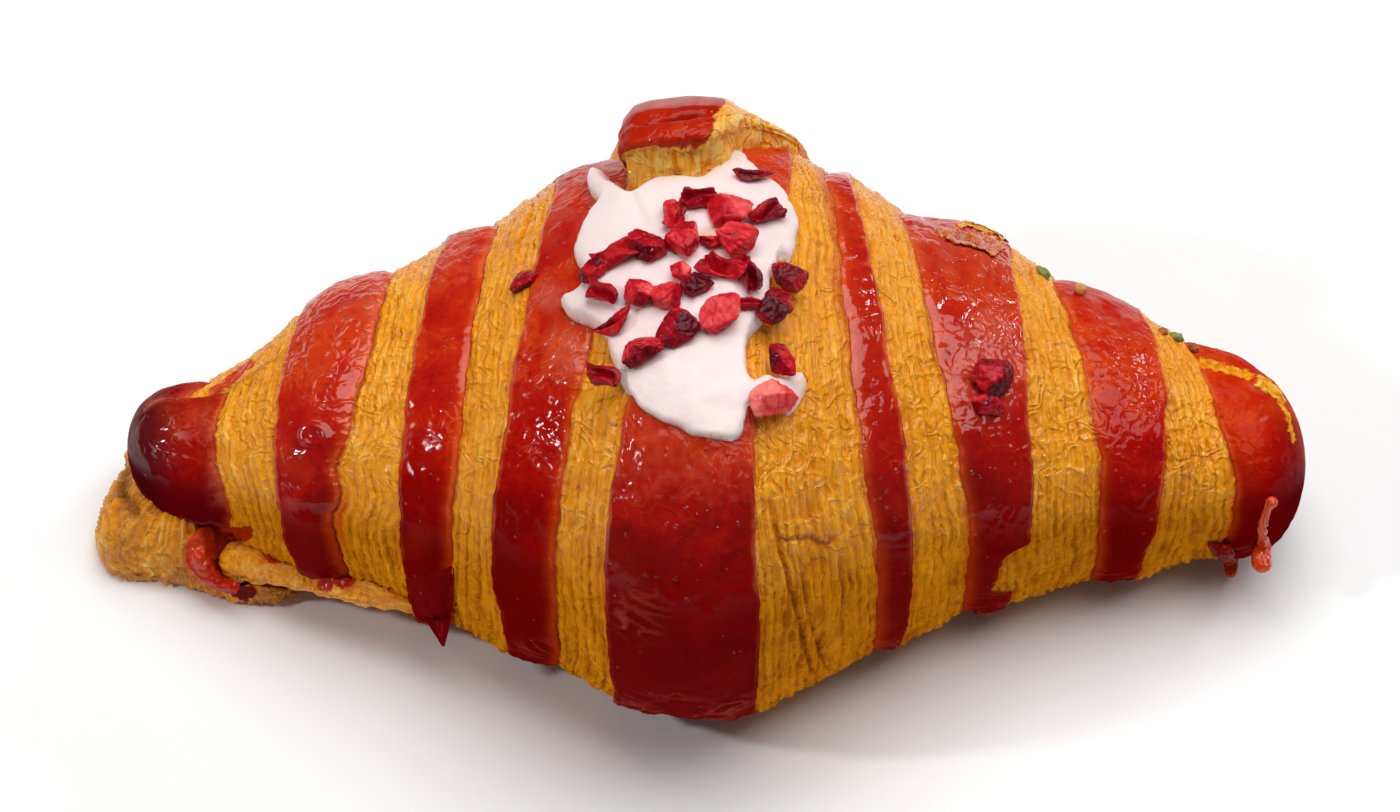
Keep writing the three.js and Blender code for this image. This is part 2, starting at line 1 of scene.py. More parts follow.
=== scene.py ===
import json
import math
import bpy
import numpy as np
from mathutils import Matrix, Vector

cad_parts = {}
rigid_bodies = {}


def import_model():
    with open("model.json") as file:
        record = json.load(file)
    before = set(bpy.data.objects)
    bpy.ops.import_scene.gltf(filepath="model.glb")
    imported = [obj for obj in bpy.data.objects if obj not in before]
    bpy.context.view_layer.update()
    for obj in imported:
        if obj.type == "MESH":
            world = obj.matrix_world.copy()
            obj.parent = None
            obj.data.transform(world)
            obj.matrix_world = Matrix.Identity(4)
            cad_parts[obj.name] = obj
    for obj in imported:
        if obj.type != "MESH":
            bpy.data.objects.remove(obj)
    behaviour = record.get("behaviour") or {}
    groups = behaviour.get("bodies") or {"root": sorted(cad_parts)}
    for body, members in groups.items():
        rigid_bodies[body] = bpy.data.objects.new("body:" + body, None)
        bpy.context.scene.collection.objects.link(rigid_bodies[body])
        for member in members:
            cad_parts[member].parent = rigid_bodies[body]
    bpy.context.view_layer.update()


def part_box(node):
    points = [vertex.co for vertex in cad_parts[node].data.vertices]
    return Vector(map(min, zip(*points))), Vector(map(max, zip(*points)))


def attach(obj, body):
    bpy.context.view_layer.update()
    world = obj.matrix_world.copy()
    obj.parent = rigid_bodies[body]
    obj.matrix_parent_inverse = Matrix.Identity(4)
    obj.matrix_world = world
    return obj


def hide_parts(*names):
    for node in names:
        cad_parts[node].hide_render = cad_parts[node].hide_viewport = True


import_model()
MM = 0.001

# ------------------------------------------------------------------ noise (numpy, seeded)


def _rnd(ix, iy, iz, seed):
    h = (ix * 374761393 + iy * 668265263 + iz * 2246822519 + seed * 3266489917) & 0xFFFFFFFF
    h = h.astype(np.uint64)
    h = ((h ^ (h >> np.uint64(13))) * np.uint64(1274126177)) & np.uint64(0xFFFFFFFF)
    h = ((h ^ (h >> np.uint64(16))) * np.uint64(2654435769)) & np.uint64(0xFFFFFFFF)
    return (h >> np.uint64(8)).astype(np.float64) / 16777216.0


def noise(x, y=0.0, z=0.0, seed=0):
    """Smooth noise, about -1..1, at points given in cells."""
    x, y, z = np.broadcast_arrays(np.asarray(x, float), np.asarray(y, float), np.asarray(z, float))
    ix, iy, iz = (np.floor(v).astype(np.int64) for v in (x, y, z))
    fx, fy, fz = x - ix, y - iy, z - iz
    ux, uy, uz = (f * f * f * (f * (f * 6 - 15) + 10) for f in (fx, fy, fz))
    total = 0.0
    for dx in (0, 1):
        wx = ux if dx else 1 - ux
        for dy in (0, 1):
            wy = uy if dy else 1 - uy
            for dz in (0, 1):
                wz = uz if dz else 1 - uz
                a = _rnd(ix + dx, iy + dy, iz + dz, seed) * 2 - 1
                b = _rnd(ix + dx, iy + dy, iz + dz, seed + 71) * 2 - 1
                c = _rnd(ix + dx, iy + dy, iz + dz, seed + 143) * 2 - 1
                total = total + wx * wy * wz * (a * (fx - dx) + b * (fy - dy) + c * (fz - dz))
    return total * 1.5


def fbm(x, y=0.0, z=0.0, octaves=3, seed=0, gain=0.5):
    out, amp, norm = 0.0, 1.0, 0.0
    for o in range(octaves):
        out = out + amp * noise(x * 2 ** o + 17.3 * o, np.asarray(y) * 2 ** o, np.asarray(z) * 2 ** o, seed + 13 * o)
        norm += amp
        amp *= gain
    return out / norm


def cells(x, y, z=0.0, seed=0):
    """Distance to the nearest and second nearest scattered point, and the nearest point's own number."""
    x, y, z = np.broadcast_arrays(np.asarray(x, float), np.asarray(y, float), np.asarray(z, float))
    ix, iy, iz = (np.floor(v).astype(np.int64) for v in (x, y, z))
    f1 = np.full(x.shape, 9.0)
    f2 = np.full(x.shape, 9.0)
    own = np.zeros(x.shape)
    flat = not np.any(z)
    for dx in (-1, 0, 1):
        for dy in (-1, 0, 1):
            for dz in ((0,) if flat else (-1, 0, 1)):
                cx, cy, cz = ix + dx, iy + dy, iz + dz
                px = cx + _rnd(cx, cy, cz, seed)
                py = cy + _rnd(cx, cy, cz, seed + 31)
                pz = cz + (0 if flat else _rnd(cx, cy, cz, seed + 57))
                d = np.sqrt((px - x) ** 2 + (py - y) ** 2 + (pz - z) ** 2)
                near = d < f1
                f2 = np.where(near, f1, np.minimum(f2, d))
                own = np.where(near, _rnd(cx, cy, cz, seed + 93), own)
                f1 = np.where(near, d, f1)
    return f1, f2, own


def smooth(t):
    t = np.clip(t, 0, 1)
    return t * t * (3 - 2 * t)


def bell(d, width):
    return np.exp(-(d / width) ** 2)


def lerp(a, b, t):
    return a + (b - a) * t


# ------------------------------------------------------------------ the loaf's skin (mm), as in the CAD part
TIP_L, TIP_R, CLOSE_L, CLOSE_R = -80.2, 84.4, -70.0, 74.0
HALF_DEPTH = [(-80.2, 9.5), (-74, 9.9), (-69, 10.8), (-64, 13.1), (-58.5, 16.4), (-53, 19.6), (-47, 22.4),
              (-41, 24.8), (-35, 27.5), (-29, 30.3), (-23, 33.3), (-17, 36.4), (-11, 38.9), (-5, 40.2), (2, 40.6),
              (8, 39.9), (14, 38.1), (20, 35.4), (26, 32.2), (32, 29.5), (38, 27.3), (44, 24.9), (50, 22.4),
              (56, 20.2), (62, 17.9), (68, 15.8), (74, 14.2), (80, 13.2), (84.4, 12.6)]
AXIS_Y = [(-80.2, 5.6), (-74, 4.7), (-69, 4.6), (-64, 4.4), (-58.5, 4.3), (-53, 4.8), (-47, 5.1), (-41, 4.9),
          (-35, 4.3), (-29, 3.7), (-23, 2.9), (-17, 1.8), (-11, 0.4), (-5, -0.5), (2, -0.8), (8, 0.0), (14, 1.4),
          (20, 2.8), (26, 4.1), (32, 5.3), (38, 6.6), (44, 6.7), (50, 6.2), (56, 5.7), (62, 5.0), (68, 4.5),
          (74, 3.6), (80, 2.4), (84.4, 2.0)]
EDGES = np.array([
    [-65.5, -65.5, -65.5, -65.4, -66.2, -67.2, -67.5, -66.8, -64.8, -62.4],
    [-55.5, -55.5, -55.5, -56.6, -57.3, -57.6, -57.4, -57.0, -56.1, -54.9],
    [-49.0, -49.0, -49.0, -50.1, -50.0, -48.8, -47.1, -45.4, -44.1, -43.0],
    [-39.1, -39.1, -39.4, -39.9, -40.2, -40.0, -39.4, -38.2, -36.7, -35.3],
    [-34.1, -34.1, -34.0, -33.7, -33.3, -32.7, -31.9, -30.9, -29.8, -28.7],
    [-25.9, -25.9, -26.3, -27.3, -27.2, -26.3, -24.7, -22.8, -21.0, -19.7],
    [-19.5, -19.5, -19.5, -19.7, -19.4, -18.2, -15.9, -13.0, -10.5, -9.9],
    [-11.3, -11.3, -11.4, -12.0, -12.0, -10.7, -7.7, -3.6, 0.3, 2.0],
    [7.2, 7.2, 7.5, 7.6, 7.0, 6.8, 7.7, 9.5, 11.5, 12.5],
    [23.9, 23.9, 24.2, 24.2, 23.2, 21.8, 20.6, 19.6, 18.8, 17.5],
    [26.6, 26.6, 27.8, 28.2, 27.9, 26.8, 25.3, 23.5, 21.8, 20.6],
    [36.3, 36.3, 36.4, 36.6, 36.0, 34.8, 33.2, 31.4, 29.7, 28.2],
    [42.4, 42.4, 42.8, 44.3, 44.7, 44.5, 44.1, 43.6, 43.2, 42.8],
    [54.5, 54.5, 54.8, 55.0, 54.9, 54.4, 53.6, 52.5, 51.1, 49.8],
    [60.3, 60.3, 61.1, 62.0, 62.7, 63.2, 63.4, 63.2, 62.7, 61.6],
    [72.7, 72.7, 72.7, 73.6, 73.7, 73.1, 72.1, 70.8, 69.3, 67.9]])
WRAP_HIGH, WRAP_LOW = 0.85, -0.75
BAND_EXTRA = {2: 0.9, 4: 0.3, 7: -0.5, 12: 0.3, 14: 0.3}
CENTRE = 8


def hermite(table, x):
    xs, ys = (np.array([p[i] for p in table], float) for i in (0, 1))
    m = np.gradient(ys, xs)
    x = np.clip(np.asarray(x, float), xs[0], xs[-1])
    i = np.clip(np.searchsorted(xs, x) - 1, 0, len(xs) - 2)
    h = xs[i + 1] - xs[i]
    t = (x - xs[i]) / h
    return ((2 * t ** 3 - 3 * t ** 2 + 1) * ys[i] + (t ** 3 - 2 * t ** 2 + t) * h * m[i]
            + (3 * t ** 2 - 2 * t ** 3) * ys[i + 1] + (t ** 3 - t ** 2) * h * m[i + 1])


def closing(x):
    l = np.clip((CLOSE_L - x) / (CLOSE_L - TIP_L), 0, 1)
    r = np.clip((x - CLOSE_R) / (TIP_R - CLOSE_R), 0, 1)
    return np.sqrt(1 - l * l) * np.sqrt(1 - r * r)


def skin(x, phi):
    x, phi = np.broadcast_arrays(np.asarray(x, float), np.asarray(phi, float))
    full, c, ratio = hermite(HALF_DEPTH, x), closing(x), 0.76 + 0.16 * (x / 82) ** 2
    a, b, bf = full * c, ratio * full * c, ratio * full
    lift = np.where(x < 0, 6.0 * smooth((-x - 35) / 42), 3.0 * smooth((x - 35) / 45))
    zc = lift + bf - 3.0 * np.sqrt(np.clip(1 - np.abs(x) / 82, 0, 1))
    base = np.where(c < 1, np.maximum(lift, zc - b), lift)
    sy, sz = -np.sin(np.radians(phi)), -np.cos(np.radians(phi))
    e = np.where(sz > 0, 2 / 2.15, 2 / 2.5)
    y = hermite(AXIS_Y, x) + a * np.sign(sy) * np.abs(sy) ** e
    z = np.maximum(zc + b * np.sign(sz) * np.abs(sz) ** e, base)
    return np.stack([x, y, z], -1)


def skin_normal(x, phi):
    x, phi = np.broadcast_arrays(np.asarray(x, float), np.asarray(phi, float))
    xa = np.clip(x - 0.4, TIP_L + 0.5, TIP_R - 0.5)
    xb = np.clip(x + 0.4, TIP_L + 0.6, TIP_R - 0.4)
    n = np.cross(skin(xb, phi) - skin(xa, phi), skin(x, phi + 0.8) - skin(x, phi - 0.8))
    return n / (np.linalg.norm(n, axis=-1, keepdims=True) + 1e-12)


def edge(k, phi):
    phi = np.mod(np.asarray(phi, float), 360)
    if k <= 0:
        return np.full(phi.shape, TIP_L)
    if k >= 17:
        return np.full(phi.shape, TIP_R)
    t = EDGES[k - 1]
    near = hermite(list(zip(np.arange(40, 221, 20), t)), np.clip(phi, 40, 220))
    back = lerp(t[9], t[0], smooth((phi - 220) / 100))
    return np.where(phi <= 220, near, back)


def fade(phi):
    phi = np.mod(phi, 360)
    return smooth((np.minimum(phi, 360 - phi) - 28) / 30)


# The view, in pixels of a 1400 x 812 frame, for laying details out along the lines of sight.
VIEW_E, VIEW_D, VIEW_T = math.radians(52.0), 620.0, np.array([0.0, 0.0, 30.0])
VIEW_F = 1204 / 165.0 * VIEW_D
VIEW_FWD = np.array([0.0, math.cos(VIEW_E), -math.sin(VIEW_E)])
VIEW_UP = np.array([0.0, math.sin(VIEW_E), math.cos(VIEW_E)])
VIEW_C = VIEW_T - VIEW_FWD * VIEW_D


def seen(P):
    """Where points (mm) land in the view."""
    d = np.asarray(P, float) - VIEW_C
    dep = d @ VIEW_FWD
    return 700 + VIEW_F * d[..., 0] / dep, 406 - VIEW_F * (d @ VIEW_UP) / dep


def hit(px, py):
    """First points of the skin on the lines of sight through (px, py): points, normals, x, phi."""
    px, py = np.atleast_1d(np.asarray(px, float)), np.atleast_1d(np.asarray(py, float))
    dx = (px - 700) / VIEW_F
    phis = np.broadcast_to(np.arange(40, 241, 1.0)[None], (len(px), 201))
    x = np.broadcast_to((dx * VIEW_D)[:, None], phis.shape)
    for _ in range(3):
        P = skin(x, phis)
        x = dx[:, None] * ((P - VIEW_C) @ VIEW_FWD)
    P = skin(x, phis)
    _, v = seen(P)
    dep = (P - VIEW_C) @ VIEW_FWD
    miss = np.abs(v - py[:, None])
    ok = miss < np.maximum(3.5, miss.min(1) + 0.5)[:, None]
    i = np.argmin(np.where(ok, dep, 1e9), axis=1)
    k = np.arange(len(px))
    i0, i1 = np.maximum(i - 1, 0), np.minimum(i + 1, 200)
    slope = (v[k, i1] - v[k, i0]) / (i1 - i0)
    step = np.where(np.abs(slope) > 0.3, (py - v[k, i]) / np.where(np.abs(slope) > 0.3, slope, 1.0), 0.0)
    ph = phis[k, i] + np.clip(step, -1.5, 1.5)
    xx = x[k, i]
    return skin(xx, ph), skin_normal(xx, ph), xx, ph


def line_dist(u, v, pts):
    """Distance in view pixels to a polyline, and the fraction along it."""
    pts = np.asarray(pts, float)
    best, frac = np.full(np.shape(u), 1e9), np.zeros(np.shape(u))
    seg = np.linalg.norm(np.diff(pts, axis=0), axis=1)
    tot, acc = seg.sum(), 0.0
    for i in range(len(pts) - 1):
        a, e = pts[i], pts[i + 1] - pts[i]
        t = np.clip(((u - a[0]) * e[0] + (v - a[1]) * e[1]) / (e @ e + 1e-9), 0, 1)
        d = np.hypot(u - a[0] - t * e[0], v - a[1] - t * e[1])
        frac = np.where(d < best, (acc + t * seg[i]) / tot, frac)
        best = np.minimum(best, d)
        acc += seg[i]
    return best, frac


# ------------------------------------------------------------------ mesh helpers


def make_mesh(name, verts_mm, faces, material, attrs=None, smooth_shade=True):
    me = bpy.data.meshes.new(name)
    me.from_pydata([tuple(v) for v in (np.asarray(verts_mm, float) * MM).tolist()], [], faces)
    me.update()
    for key, val in (attrs or {}).items():
        val = np.asarray(val, np.float32)
        if val.ndim == 1:
            me.attributes.new(key, "FLOAT", "POINT").data.foreach_set("value", val)
        else:
            me.attributes.new(key, "FLOAT_VECTOR", "POINT").data.foreach_set("vector", val.ravel())
    ob = bpy.data.objects.new(name, me)
    bpy.context.scene.collection.objects.link(ob)
    if material is not None:
        me.materials.append(material)
    if smooth_shade:
        me.shade_smooth()
    return ob


def tube_faces(rows, cols, first=None, last=None, offset=0):
    """Quads for a ring-by-ring tube: vertex (j, i) is offset + i*rows + j, i along, j around."""
    j = np.arange(rows)
    jn = (j + 1) % rows
    out = []
    for i in range(cols - 1):
        a, b = offset + i * rows, offset + (i + 1) * rows
        out += np.stack([a + j, b + j, b + jn, a + jn], 1).tolist()
    if first is not None:
        out += np.stack([np.full(rows, first), offset + j, offset + jn], 1).tolist()
    if last is not None:
        o = offset + (cols - 1) * rows
        out += np.stack([np.full(rows, last), o + jn, o + j], 1).tolist()
    return out


# ------------------------------------------------------------------ materials


class Nodes:
    """Small helper for building node materials."""

    def __init__(self, name):
        self.mat = bpy.data.materials.new(name)
        self.mat.use_nodes = True
        self.nt = self.mat.node_tree
        self.bsdf = self.nt.nodes["Principled BSDF"]
        self.coords = self.nt.nodes.new("ShaderNodeTexCoord")

    def new(self, kind, inputs=None, **props):
        n = self.nt.nodes.new(kind)
        for k, v in props.items():
            setattr(n, k, v)
        for k, v in (inputs or {}).items():
            self.put(n.inputs[k], v)
        return n

    def put(self, socket, v):
        if isinstance(v, bpy.types.NodeSocket):
            self.nt.links.new(v, socket)
        elif v is not None:
            socket.default_value = v

    def attr(self, name):
        n = self.new("ShaderNodeAttribute", attribute_name=name)
        return n.outputs["Fac"]

    def attr_vec(self, name):
        return self.new("ShaderNodeAttribute", attribute_name=name).outputs["Vector"]

    def obj(self):
        return self.coords.outputs["Object"]

    def scaled(self, vec, scale):
        n = self.new("ShaderNodeVectorMath", operation="MULTIPLY")
        self.put(n.inputs[0], vec)
        n.inputs[1].default_value = scale
        return n.outputs[0]

    def noise(self, vec, scale, detail=3.0, rough=0.55, distort=0.0):
        n = self.new("ShaderNodeTexNoise", {"Vector": vec, "Scale": scale, "Detail": detail,
                                             "Roughness": rough, "Distortion": distort})
        return n.outputs["Fac"]

    def voronoi(self, vec, scale, feature="F1", rnd=1.0):
        n = self.new("ShaderNodeTexVoronoi", {"Vector": vec, "Scale": scale, "Randomness": rnd}, feature=feature)
        return n.outputs

    def math(self, op, a, b=None, clamp=False):
        n = self.new("ShaderNodeMath", operation=op, use_clamp=clamp)
        self.put(n.inputs[0], a)
        if b is not None:
            self.put(n.inputs[1], b)
        return n.outputs[0]

    def span(self, v, a, b, lo=0.0, hi=1.0):
        n = self.new("ShaderNodeMapRange", {"Value": v, "From Min": a, "From Max": b, "To Min": lo, "To Max": hi},
                     interpolation_type="SMOOTHSTEP")
        return n.outputs[0]

    def ramp(self, v, stops):
        n = self.new("ShaderNodeValToRGB", {"Fac": v})
        els = n.color_ramp.elements
        while len(els) > 1:
            els.remove(els[-1])
        els[0].position, els[0].color = stops[0][0], (*stops[0][1], 1)
        for p, c in stops[1:]:
            els.new(p).color = (*c, 1)
        return n.outputs["Color"]

    def mix(self, f, a, b, blend="MIX"):
        n = self.new("ShaderNodeMix", data_type="RGBA", blend_type=blend)
        self.put(n.inputs[0], f)
        for s, v in ((n.inputs[6], a), (n.inputs[7], b)):
            self.put(s, (*v, 1) if isinstance(v, tuple) and len(v) == 3 else v)
        return n.outputs[2]

    def bump(self, height, distance, strength=1.0, normal=None):
        n = self.new("ShaderNodeBump", {"Height": height, "Distance": distance, "Strength": strength})
        if normal is not None:
            self.put(n.inputs["Normal"], normal)
        return n.outputs[0]

    def done(self, color, rough, normal, **fixed):
        self.put(self.bsdf.inputs["Base Color"], color)
        self.put(self.bsdf.inputs["Roughness"], rough)
        if normal is not None:
            self.put(self.bsdf.inputs["Normal"], normal)
        for k, v in fixed.items():
            self.bsdf.inputs[k.replace("_", " ")].default_value = v
        return self.mat


def srgb(r, g, b):
    f = lambda c: (c / 255) / 12.92 if c <= 10.31 else (((c / 255) + 0.055) / 1.055) ** 2.4
    return (f(r), f(g), f(b))


def dough_material():
    """Baked two-colour dough. Attributes: red 0..1, ridge 0..1 (layer crest), zone 0 low .. 1 top (colours lighten
    towards the top, partly as painted top light), stain 0..1, brown 0..1 (baked browning, and painted shade in creases,
    hollows, pits and the slit), rim 0..1, milk 0..1 (milky film, and painted sheen), dull 0..1, strand (mm across the
    layers, mm along them, band)."""
    m = Nodes("baked_dough")
    red, ridge, zone, stain, brown, rim = (m.attr(a) for a in ("red", "ridge", "zone", "stain", "brown", "rim"))
    strand, obj = m.attr_vec("strand"), m.obj()

    def worms(vec, scale, detail, rough, distort, width):
        n = m.noise(vec, scale, detail, rough, distort)
        return m.math("SUBTRACT", 1.0, m.math("MULTIPLY", m.math("ABSOLUTE", m.math("SUBTRACT", n, 0.5)), width), clamp=True)

    lines = m.noise(m.scaled(strand, (2.4, 0.13, 3.7)), 1.0, 3.0, 0.6)
    broad = m.noise(obj, 110.0, 3.0, 0.6)
    fine = m.noise(obj, 1000.0, 2.0, 0.6)
    curl = worms(obj, 330.0, 1.5, 0.5, 0.9, 8.0)
    # golden layers: the crest value makes crests lighter and grooves darker, partly the layers' own tone and partly
    # painted highlight and shade; zone makes them lighter towards the top, partly the bake's own tone and partly
    # painted top light
    crest = m.math("ADD", m.math("MULTIPLY", ridge, 0.80), m.math("MULTIPLY", m.math("SUBTRACT", lines, 0.5), 0.45))
    crest = m.math("ADD", m.math("ADD", crest, 0.10), m.math("MULTIPLY", m.math("SUBTRACT", broad, 0.5), 0.40))
    crest = m.math("ADD", crest, m.math("MULTIPLY", m.math("SUBTRACT", curl, 0.4), 0.16), clamp=True)
    gold_low = m.ramp(crest, [(0.0, srgb(120, 58, 2)), (0.25, srgb(180, 98, 5)), (0.5, srgb(216, 132, 11)),
                              (0.75, srgb(233, 150, 16)), (1.0, srgb(247, 186, 66))])
    gold_top = m.ramp(crest, [(0.0, srgb(184, 98, 6)), (0.25, srgb(226, 134, 14)), (0.5, srgb(246, 156, 20)),
                              (0.75, srgb(251, 174, 42)), (1.0, srgb(254, 210, 106))])
    gold = m.mix(m.span(zone, 0.0, 0.55), gold_low, gold_top)
    lines2 = m.noise(m.scaled(strand, (4.6, 0.35, 1.3)), 1.0, 2.0, 0.5)
    curl2 = worms(obj, 820.0, 1.0, 0.5, 0.6, 7.0)
    glint = m.math("MULTIPLY", m.span(curl2, 0.76, 1.0), m.span(m.noise(obj, 260.0, 2.0, 0.5), 0.50, 0.64))
    # darker along the low lines of the small layer bump: painted groove shade
    gold = m.mix(m.math("MULTIPLY", m.span(lines2, 0.46, 0.30), 0.28), gold, srgb(150, 76, 4))
    gold = m.mix(m.math("MULTIPLY", glint, m.span(zone, 0.0, 0.6, 0.10, 0.34)), gold, srgb(255, 224, 140))
    # darker by the browning attribute: baked browning, and also painted shade
    gold = m.mix(m.math("MULTIPLY", brown, m.span(broad, 0.3, 0.7, 0.6, 1.0)), gold, srgb(112, 50, 8))
    gold = m.mix(m.math("MULTIPLY", stain, 0.75), gold, srgb(200, 58, 8))
    # red sheet
    patch = m.noise(obj, 75.0, 4.0, 0.65, 0.8)
    blot = m.noise(obj, 230.0, 3.0, 0.6, 0.5)
    # the red deepens at random and grows lighter and oranger towards the top: partly the sheet's own tone, partly
    # painted top light
    red_tone_and_top_light = m.math("ADD", m.math("MULTIPLY", zone, 0.92), m.math("MULTIPLY", m.math("SUBTRACT", patch, 0.5), 1.15))
    red_tone_and_top_light = m.math("ADD", red_tone_and_top_light, m.math("MULTIPLY", m.math("SUBTRACT", blot, 0.5), 0.50), clamp=True)
    crimson = m.ramp(red_tone_and_top_light, [(0.0, srgb(118, 3, 2)), (0.3, srgb(136, 4, 3)), (0.55, srgb(166, 8, 5)),
                             (0.75, srgb(180, 20, 6)), (0.9, srgb(190, 32, 8)), (1.0, srgb(202, 52, 12))])
    crimson = m.mix(m.math("MULTIPLY", m.span(fine, 0.52, 0.72), 0.3), crimson, srgb(96, 2, 4))
    crimson = m.mix(m.math("MULTIPLY", m.math("MULTIPLY", m.span(curl, 0.55, 0.95), m.span(zone, 0.2, 0.9)), m.span(patch, 0.45, 0.65, 0.05, 0.34)), crimson, srgb(222, 84, 26))
    crimson = m.mix(m.math("MULTIPLY", stain, 0.6), crimson, srgb(222, 74, 10))
    # darker by the browning attribute: baked browning, and also painted shade
    crimson = m.mix(m.math("MULTIPLY", brown, 0.75), crimson, srgb(72, 4, 16))
    crimson = m.mix(m.math("MULTIPLY", m.math("MULTIPLY", rim, m.span(zone, 0.0, 0.5, 0.25, 1.0)), m.span(blot, 0.40, 0.65, 0.05, 0.55)), crimson, srgb(232, 112, 48))
    # rare small pale dots on the red: painted sparkle highlights
    speck_and_sparkle = m.voronoi(obj, 900.0)
    pick2 = m.new("ShaderNodeSeparateColor", {"Color": speck_and_sparkle["Color"]}).outputs[1]
    crimson = m.mix(m.math("MULTIPLY", m.math("MULTIPLY", m.span(speck_and_sparkle["Distance"], 0.26, 0.12), m.span(pick2, 0.92, 0.94)), 0.26), crimson, srgb(232, 118, 84))
    # paler by the milky-film attribute: milky film, and also painted sheen
    crimson = m.mix(m.math("MULTIPLY", m.attr("milk"), m.span(blot, 0.3, 0.7, 0.35, 0.85)), crimson, srgb(206, 104, 84))
    color = m.mix(red, gold, crimson)
    rough = m.math("ADD", m.math("MULTIPLY", red, -0.08), 0.34)
    rough = m.math("ADD", rough, m.math("MULTIPLY", m.math("SUBTRACT", fine, 0.5), 0.16), clamp=True)
    # small relief: layer lines and curled wrinkles on the gold, tiny blisters and wrinkles on the red
    wrinkle = m.noise(obj, 420.0, 3.0, 0.6, 1.2)
    gold_h = m.math("ADD", m.math("MULTIPLY", lines2, 0.45), m.math("MULTIPLY", curl, 0.70))
    gold_h = m.math("ADD", gold_h, m.math("ADD", m.math("MULTIPLY", wrinkle, 0.60), m.math("MULTIPLY", curl2, 0.08)))
    blob = m.voronoi(obj, 760.0)
    pick = m.new("ShaderNodeSeparateColor", {"Color": blob["Color"]}).outputs[0]
    dot = m.math("MULTIPLY", m.span(blob["Distance"], 0.30, 0.05), m.span(pick, 0.72, 0.8))
    red_h = m.math("ADD", m.math("MULTIPLY", wrinkle, 0.18), m.math("MULTIPLY", dot, 0.45))
    crumple = m.math("MULTIPLY", m.span(zone, 0.25, 0.95), m.span(patch, 0.46, 0.62, 0.04, 0.42))
    red_h = m.math("ADD", red_h, m.math("MULTIPLY", curl, crumple))
    height = m.new("ShaderNodeMix", data_type="FLOAT")
    m.put(height.inputs[0], red)
    m.put(height.inputs[2], gold_h)
    m.put(height.inputs[3], red_h)
    normal = m.bump(height.outputs[0], 0.00036, 1.0)
    m.put(m.bsdf.inputs["Coat Normal"], normal)
    coat = m.span(zone, 0.10, 0.46, 0.03, 0.85)
    coat = m.math("MULTIPLY", coat, m.math("SUBTRACT", 1.0, m.attr("dull")))
    coat = m.math("MULTIPLY", coat, m.math("ADD", m.math("MULTIPLY", red, 0.2), 0.8))
    m.put(m.bsdf.inputs["Coat Weight"], coat)
    return m.done(color, rough, normal, Coat_Roughness=0.045, Specular_IOR_Level=0.0,
                  Subsurface_Weight=0.0)


DOUGH = dough_material()

# ------------------------------------------------------------------ the loaf
PHI = np.concatenate([np.linspace(0, 36, 12, endpoint=False), np.linspace(36, 60, 36, endpoint=False),
                      np.linspace(60, 236, 290, endpoint=False), np.linspace(236, 324, 90, endpoint=False),
                      np.linspace(324, 360, 12, endpoint=False)])
ROWS = len(PHI)
_P0 = np.arange(0, 361, 1.0)
_A0 = np.cumsum(np.r_[0, np.linalg.norm(np.diff(skin(0.0, _P0), axis=0), axis=1)])


def arc_at(phi, x=0.0):
    """Length along the skin from the underside, scaled to the section at x."""
    return np.interp(phi, _P0, _A0) * hermite(HALF_DEPTH, x) / 40.5


def edges_at(phi):
    """x of all 18 band edges with their small wandering, stacked on the first axis."""
    phi = np.asarray(phi, float)
    arc = np.interp(np.mod(phi, 360), _P0, _A0)
    out = []
    for e in range(18):
        x = edge(e, phi)
        if 0 < e < 17:
            x = x + fade(phi) * (0.50 * noise(arc / 11, 3.1 * e, seed=5) + 0.26 * noise(arc / 3.2, 7.7 * e, seed=6)
                                 + 0.12 * noise(arc / 1.1, 1.7 * e, seed=7))
        out.append(x)
    out = np.array(out)
    # the bite out of the right edge of the sixth red band, low on the front
    bite = smooth((phi - 77) / 4.5) * smooth((103 - phi) / 6.5)
    out[13] -= bite * (3.2 + 0.6 * noise(arc / 2.0, 9.0, seed=9))
    out[9] -= 2.3 * bell(phi - 165, 9)
    # a torn flap of film bulges the second red band's right edge
    out[3] += 1.0 * bell(phi - 122, 7) - 0.7 * bell(phi - 137, 6)
    # behind the left cap the golden layer comes forward
    turn = np.mod(phi, 360)
    high = seen(skin(out[1], turn))[1]
    out[1] -= 6.6 * smooth((390 - high) / 7) * smooth((turn - 150) / 10)
    return out


